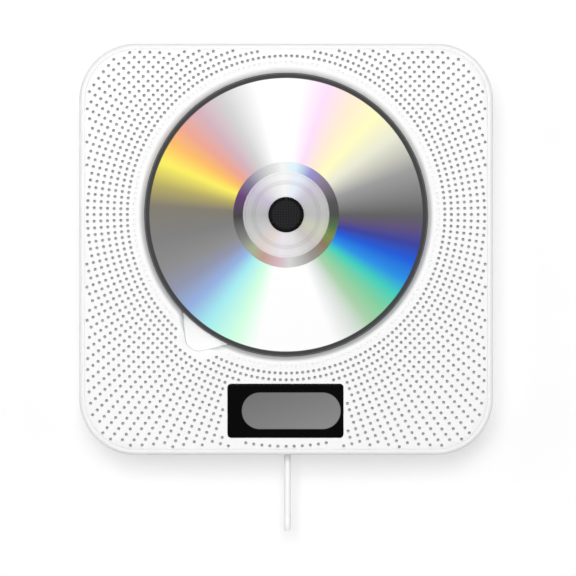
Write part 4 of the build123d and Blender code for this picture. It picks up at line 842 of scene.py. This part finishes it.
# from the hole outwards: the radius, and how far the face stands in front of or behind its level
front_profile = [
    (disc_hole, -0.12), (disc_hole + 0.12, 0), (moulded_from, 0), (13.05, -0.06), (13.2, 0), (14.3, 0),
    (14.45, -0.06), (moulded_to, 0), (17.2, 0), (17.45, 0.15), (18.0, 0.15), (18.25, 0),
    (recorded_from, 0), (22.5, -0.03), (57.8, -0.03), (recorded_to, 0), (disc_radius - 0.15, 0),
    (disc_radius, -0.15),
]
disc_profile = np.array([
    (disc_hole, disc_back + 0.1), *((radius, disc_front + step) for radius, step in front_profile),
    (disc_radius, disc_back + 0.15), (disc_radius - 0.15, disc_back), (disc_hole + 0.1, disc_back),
])
first_row = np.arange(disc_steps)
disc_faces = np.concatenate([
    grid_faces(len(disc_profile), disc_steps)[:, ::-1],
    strip(first_row, (len(disc_profile) - 1) * disc_steps + first_row, False),
])
disc = make_piece(
    "compact_disc", turned(disc_profile, disc_steps, disc_z).reshape(-1, 3), [disc_faces], "disc", sharp=8
)
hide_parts("disc")

# %% [markdown]
# ## Colours of the disc
#
# One group holds the painted reflections by angle, in three ramps: the recorded area, the mirror band and
# the hub. The light greys are painted highlights, the dark greys painted dark reflections, and the hues
# the painted fan of colours. The angle runs clockwise from the right, in degrees. A colour of one number
# is a grey.

# %% Group: painted reflections, the fan of colours by angle
recorded_painted_reflection = [
    (0, 0.11), (6, (0.11, 0.08, 0.18)), (13, (0.04, 0.05, 0.32)), (20, (0.01, 0.10, 0.66)),
    (29, (0.02, 0.27, 0.75)), (36, (0.05, 0.60, 0.48)), (44, (0.21, 0.61, 0.34)),
    (52, (0.38, 0.61, 0.39)), (60, (0.70, 0.74, 0.71)), (70, 0.95), (102, 0.95),
    (113, (0.61, 0.96, 0.73)), (126, (0.36, 0.80, 0.84)), (136, (0.29, 0.42, 0.72)),
    (146, (0.27, 0.29, 0.40)), (156, 0.25), (170, 0.20), (184, (0.21, 0.19, 0.15)),
    (193, (0.44, 0.38, 0.12)), (203, (0.92, 0.82, 0.12)), (212, (0.92, 0.48, 0.13)),
    (220, (0.80, 0.36, 0.27)), (230, (0.62, 0.42, 0.48)), (242, 0.62), (258, 0.95), (276, 0.95),
    (288, (0.93, 0.70, 0.90)), (300, (0.95, 0.80, 0.62)), (312, (0.95, 0.92, 0.52)),
    (324, (0.78, 0.78, 0.64)), (340, 0.32), (360, 0.11),
]
mirror_painted_reflection = [
    (0, 0.065), (14, (0.08, 0.16, 0.06)), (26, (0.18, 0.26, 0.07)), (38, (0.24, 0.18, 0.11)),
    (58, (0.30, 0.28, 0.26)), (86, 0.64), (100, (0.64, 0.44, 0.50)), (118, (0.50, 0.32, 0.26)),
    (134, (0.36, 0.42, 0.28)), (152, 0.20), (178, 0.05), (203, (0.13, 0.05, 0.17)),
    (222, (0.22, 0.20, 0.30)), (246, 0.60), (266, 0.86), (282, (0.66, 0.84, 0.90)),
    (300, (0.30, 0.28, 0.60)), (318, (0.24, 0.19, 0.27)), (344, 0.08), (360, 0.065),
]
hub_painted_reflection = [
    (0, 0.48), (24, (0.56, 0.58, 0.46)), (48, (0.56, 0.52, 0.51)), (75, 0.72), (98, (0.78, 0.74, 0.78)),
    (125, (0.70, 0.62, 0.58)), (150, 0.56), (180, 0.45), (216, (0.55, 0.50, 0.62)), (246, 0.78),
    (266, 0.88), (290, (0.74, 0.80, 0.88)), (312, (0.58, 0.54, 0.64)), (336, 0.50), (360, 0.48),
]
painted_reflections = {"Recorded": recorded_painted_reflection, "Mirror": mirror_painted_reflection, "Hub": hub_painted_reflection}
nodes, g_in, g_out = start_group("disc_painted_reflections", [], [(output, "Color") for output in painted_reflections])
axes = nodes.add("SeparateXYZ", {0: g_in["Vector"]})
turned_by = nodes.math("ARCTAN2", axes["Z"], axes["X"])
clockwise = nodes.math("FRACT", nodes.math("MULTIPLY", turned_by, -1 / (2 * pi)))
for output, stops in painted_reflections.items():
    ramp = nodes.make("ValToRGB", {"Fac": clockwise})
    elements = ramp.color_ramp.elements
    while len(elements) < len(stops):
        elements.new(0.5)
    for element, (angle, colour) in zip(elements, stops):
        element.position = angle / 360
        element.color = (*np.broadcast_to(colour, 3), 1)
    nodes.feed(g_out, {output: ramp.outputs["Color"]})
painted_reflection_group = nodes.tree
print("stops of colour:", [len(stops) for stops in painted_reflections.values()])

# %% Material of the disc, by radius
layers = Surface("disc_layers", Specular_IOR_Level=0.05)
centred = layers.add("Mapping", {"Vector": layers.place, "Location": (0, 0, -disc_z * mm)})[0]
# The group's three ramps are the painted reflections of the hub, the mirror band and the recorded area.
fan = layers.share(painted_reflection_group, {"Vector": centred})
spiral = layers.share(ring_group, {"Vector": centred, "Rings per Metre": 1400.0})


def past(radius, softness=0.12):
    """A mask that goes from 0 to 1 as the radius passes a value in millimetres."""
    return layers.map_range(spiral["Radius"], (radius - softness) * mm, (radius + softness) * mm)


moulded = layers.math("MULTIPLY", layers.math("SUBTRACT", past(moulded_from), past(moulded_to)), 0.12)
colours = layers.blend(moulded, fan["Hub"], (0.2, 0.2, 0.22, 1))
on_the_rim = past(recorded_to)
for mask, layer in (
    (past(mirror_from), fan["Mirror"]),
    (past(recorded_from), fan["Recorded"]),
    (on_the_rim, (0.055, 0.055, 0.058, 1)),
    (past(edge_from, 0.15), (0.20, 0.20, 0.20, 1)),
):
    colours = layers.blend(mask, colours, layer)
layers.dress(
    Base_Color=colours,
    Metallic=layers.math("MULTIPLY", layers.math("SUBTRACT", 1.0, on_the_rim), 0.04),
    Roughness=layers.math("MULTIPLY_ADD", spiral["Height"], 0.08, 0.40),
)
layers.bump(spiral["Height"], 0.03, 0.01 * mm)
disc.data.materials.append(layers.material)

# %% [markdown]
# ## The display's window
#
# The display sits behind a glossy black window, flush with the face. Its field shows through as a grey
# panel with round ends, lighter towards the bottom and towards the right. The window is a rounded plate
# with a small round on its front edge, made of stacked outlines. A last outline just inside the round
# keeps the shading of the front flat.

# %% Window of the display
lens_front, lens_back, lens_edge, lens_gap, lens_flat = 40.9, 39.3, 0.3, 0.15, 0.15
lens_steps = 8
lens_sides = 4 * lens_steps
rounding = lens_edge * (1 - unit(np.linspace(0, pi / 2, 5)))
lens_rows = [
    set_depth(rectangle_outline(opening, lens_gap + inset, lens_steps), depth)
    for inset, depth in [
        (0.0, lens_back), *((inset, lens_front - fall) for inset, fall in rounding),
        (lens_edge + lens_flat, lens_front),
    ]
]
middles = [set_depth(opening.centre[None, :], depth) for depth in (lens_front, lens_back)]
first_middle = len(lens_rows) * lens_sides
back_row = np.arange(lens_sides)[None, :]
window = make_piece(
    "display_window", np.concatenate(lens_rows + middles),
    [
        grid_faces(len(lens_rows), lens_sides),
        cone(first_middle - lens_sides + back_row, np.array([first_middle]), True),
        cone(back_row, np.array([first_middle + 1]), False),
    ],
    "player",
)
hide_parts("display_lens")

# %% Material of the window: black, with the grey field behind it
field = Rectangle(np.array([2.17, opening.centre[1]]), np.array([41.7, 15.4]), 7.6)
field_soft, field_below, field_above, field_left, field_right = 0.15, 0.265, 0.205, 0.88, 1.1

tinted = Surface("tinted_window", Roughness=0.06, Specular_IOR_Level=0.03)
to_middle = (-field.centre[0] * mm, 0, -field.centre[1] * mm)
moved = tinted.add("Mapping", {"Vector": tinted.place, "Location": to_middle})[0]
axes = tinted.add("SeparateXYZ", {0: moved})
squares = []
for axis, size in zip("XZ", field.size):
    beyond = tinted.math("SUBTRACT", tinted.math("ABSOLUTE", axes[axis]), (size / 2 - field.corner) * mm)
    beyond = tinted.math("MAXIMUM", beyond, 0.0)
    squares.append(tinted.math("MULTIPLY", beyond, beyond))
round_reach = tinted.math("SQRT", tinted.math("ADD", *squares))
field_start, field_end = (field.corner + field_soft) * mm, (field.corner - field_soft) * mm
in_field = tinted.map_range(round_reach, field_end, field_start, 1.0, 0.0)
half_width, half_height = field.size / 2 * mm
tone = tinted.math(
    "MULTIPLY", tinted.map_range(axes["Z"], -half_height, half_height, field_below, field_above),
    tinted.map_range(axes["X"], -half_width, half_width, field_left, field_right),
)
field_grey = tinted.add("CombineColor", {0: tone, 1: tone, 2: tone})[0]
grained = tinted.grained(field_grey, 0.08, grain=1200.0, tone=0.06, spread=0.03)
tinted.dress(Base_Color=tinted.blend(in_field, (0.0012, 0.0012, 0.0013, 1), grained["Colour"]))
window.data.materials.append(tinted.material)

# %% [markdown]
# ## The hub
#
# The cap in the middle of the disc is black plastic with a fine checkered texture, which gives a finger
# a grip. The relief is two crossed waves, so the weave group serves here too. Round it, the rim of the
# turntable and the three balls that hold the disc are dull black, so that they show only as a dark ring.

# %% Materials of the hub
cap = Surface("checkered_cap", Roughness=0.55, Specular_IOR_Level=0.08)
cap.woven((0.022, 0.022, 0.024), 900.0, 1.0, 0.25 * mm)
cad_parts["hub_cap"].data.materials[0] = cap.material

dull_black = Surface("dull_black", Roughness=0.7, Specular_IOR_Level=0.05)
dull_black.grained((0.006, 0.006, 0.0065), 0.7, grain=1500.0, tone=0.3)
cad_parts["turntable"].data.materials[0] = dull_black.material
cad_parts["hub_balls"].data.materials[0] = metal("blackened_steel", (0.012, 0.012, 0.013), 0.5)

# %% [markdown]
# ## The wall, the floor and the light
#
# The player hangs on a plain white wall. A wall that only reflects light would render grey, so it glows
# a little for camera rays, and the shadow still shows in what it reflects. Seen from behind, the wall is
# clear and lets light through, so that the player's back can be looked at. A pale floor lies far below.
#
# The key light comes from the front, a little above and to the left, so the shadow falls short below the
# body. A soft fill from both sides and a plain pale sky keep the level even. One more soft lamp stands
# behind the wall.

# %% Wall and floor
def seen_or_mirrored(nodes):
    """The Light Path node's outputs, and a mask of the rays that come from the camera or by a mirror."""
    path = nodes.add("LightPath")
    seen = nodes.math("MAXIMUM", path["Is Camera Ray"], path["Is Glossy Ray"])
    return path, nodes.math("MAXIMUM", seen, path["Is Transmission Ray"])


def backdrop(name, lower, upper, material_name, reflect, glow):
    """A flat stage piece between two edges across the stage, each given by its y and z.

    It is white for the camera and clear from behind, and shows the shadow in what it reflects."""
    paint = bpy.data.materials.new(material_name)
    paint.use_nodes = True
    nodes = Nodes(paint.node_tree)
    nodes.tree.nodes.clear()
    path, seen = seen_or_mirrored(nodes)
    reflected = nodes.add("BsdfDiffuse", {"Color": (reflect, reflect, reflect, 1)})[0]
    strength = nodes.math("MULTIPLY", seen, glow)
    shining = nodes.add("Emission", {"Color": (1, 1, 1, 1), "Strength": strength})[0]
    both = nodes.add("AddShader", {0: reflected, 1: shining})[0]
    behind = nodes.math("MAXIMUM", nodes.add("NewGeometry")["Backfacing"], path["Is Shadow Ray"])
    shown = nodes.add("MixShader", {0: behind, 1: both, 2: nodes.add("BsdfTransparent")[0]})[0]
    nodes.make("OutputMaterial", {"Surface": shown}).is_active_output = True
    mesh = bpy.data.meshes.new(name)
    mesh.from_pydata(
        [(-side, *lower), (side, *lower), (side, *upper), (-side, *upper)], [], [(0, 1, 2, 3)]
    )
    mesh.materials.append(paint)
    add_object(name, mesh)


side, wall_y, wall_top, floor_z, floor_front = 3.0, 0.3 * mm, 2.4, -1.2, -4.0
backdrop("wall", (wall_y, floor_z), (wall_y, wall_top), "wall_paint", 0.60, 0.455)
backdrop("floor", (floor_front, floor_z), (wall_y, floor_z), "floor_paint", 0.50, 0.50)


# %% Lamps and sky
def lamp(name, place, target, size, power):
    """A square area lamp that looks at a point."""
    light = bpy.data.lights.new(name, "AREA")
    held = add_object(name, light, shape="SQUARE", size=size, energy=power)
    held.location = place
    held.rotation_euler = Vector(np.array(target) - np.array(place)).to_track_quat("-Z", "Y").to_euler()


middle_z = body.centre[1] * mm
middle_of_face = (0, face_y, middle_z)
lamp("key", (-0.09, -2.0, 0.29), middle_of_face, 0.6, 20.0)
lamp("fill_left", (-1.5, -1.3, 0.25), middle_of_face, 1.4, 6.0)
lamp("fill_right", (1.5, -1.3, 0.10), middle_of_face, 1.4, 5.0)
lamp("back", (0.5, 1.8, 0.5), (0, 0, middle_z), 1.0, 13.0)

sky = bpy.data.worlds.new("pale_sky")
sky.use_nodes = True
nodes = Nodes(sky.node_tree)
nodes.tree.nodes.clear()
_, seen = seen_or_mirrored(nodes)
plain, bright = (
    nodes.add("Background", {"Color": (1, 1, 1, 1), "Strength": level})[0] for level in (0.30, 1.0)
)
chosen = nodes.add("MixShader", {0: seen, 1: plain, 2: bright})[0]
nodes.add("OutputWorld", {"Surface": chosen})
bpy.context.scene.world = sky
bpy.context.scene.view_settings.view_transform = "Standard"
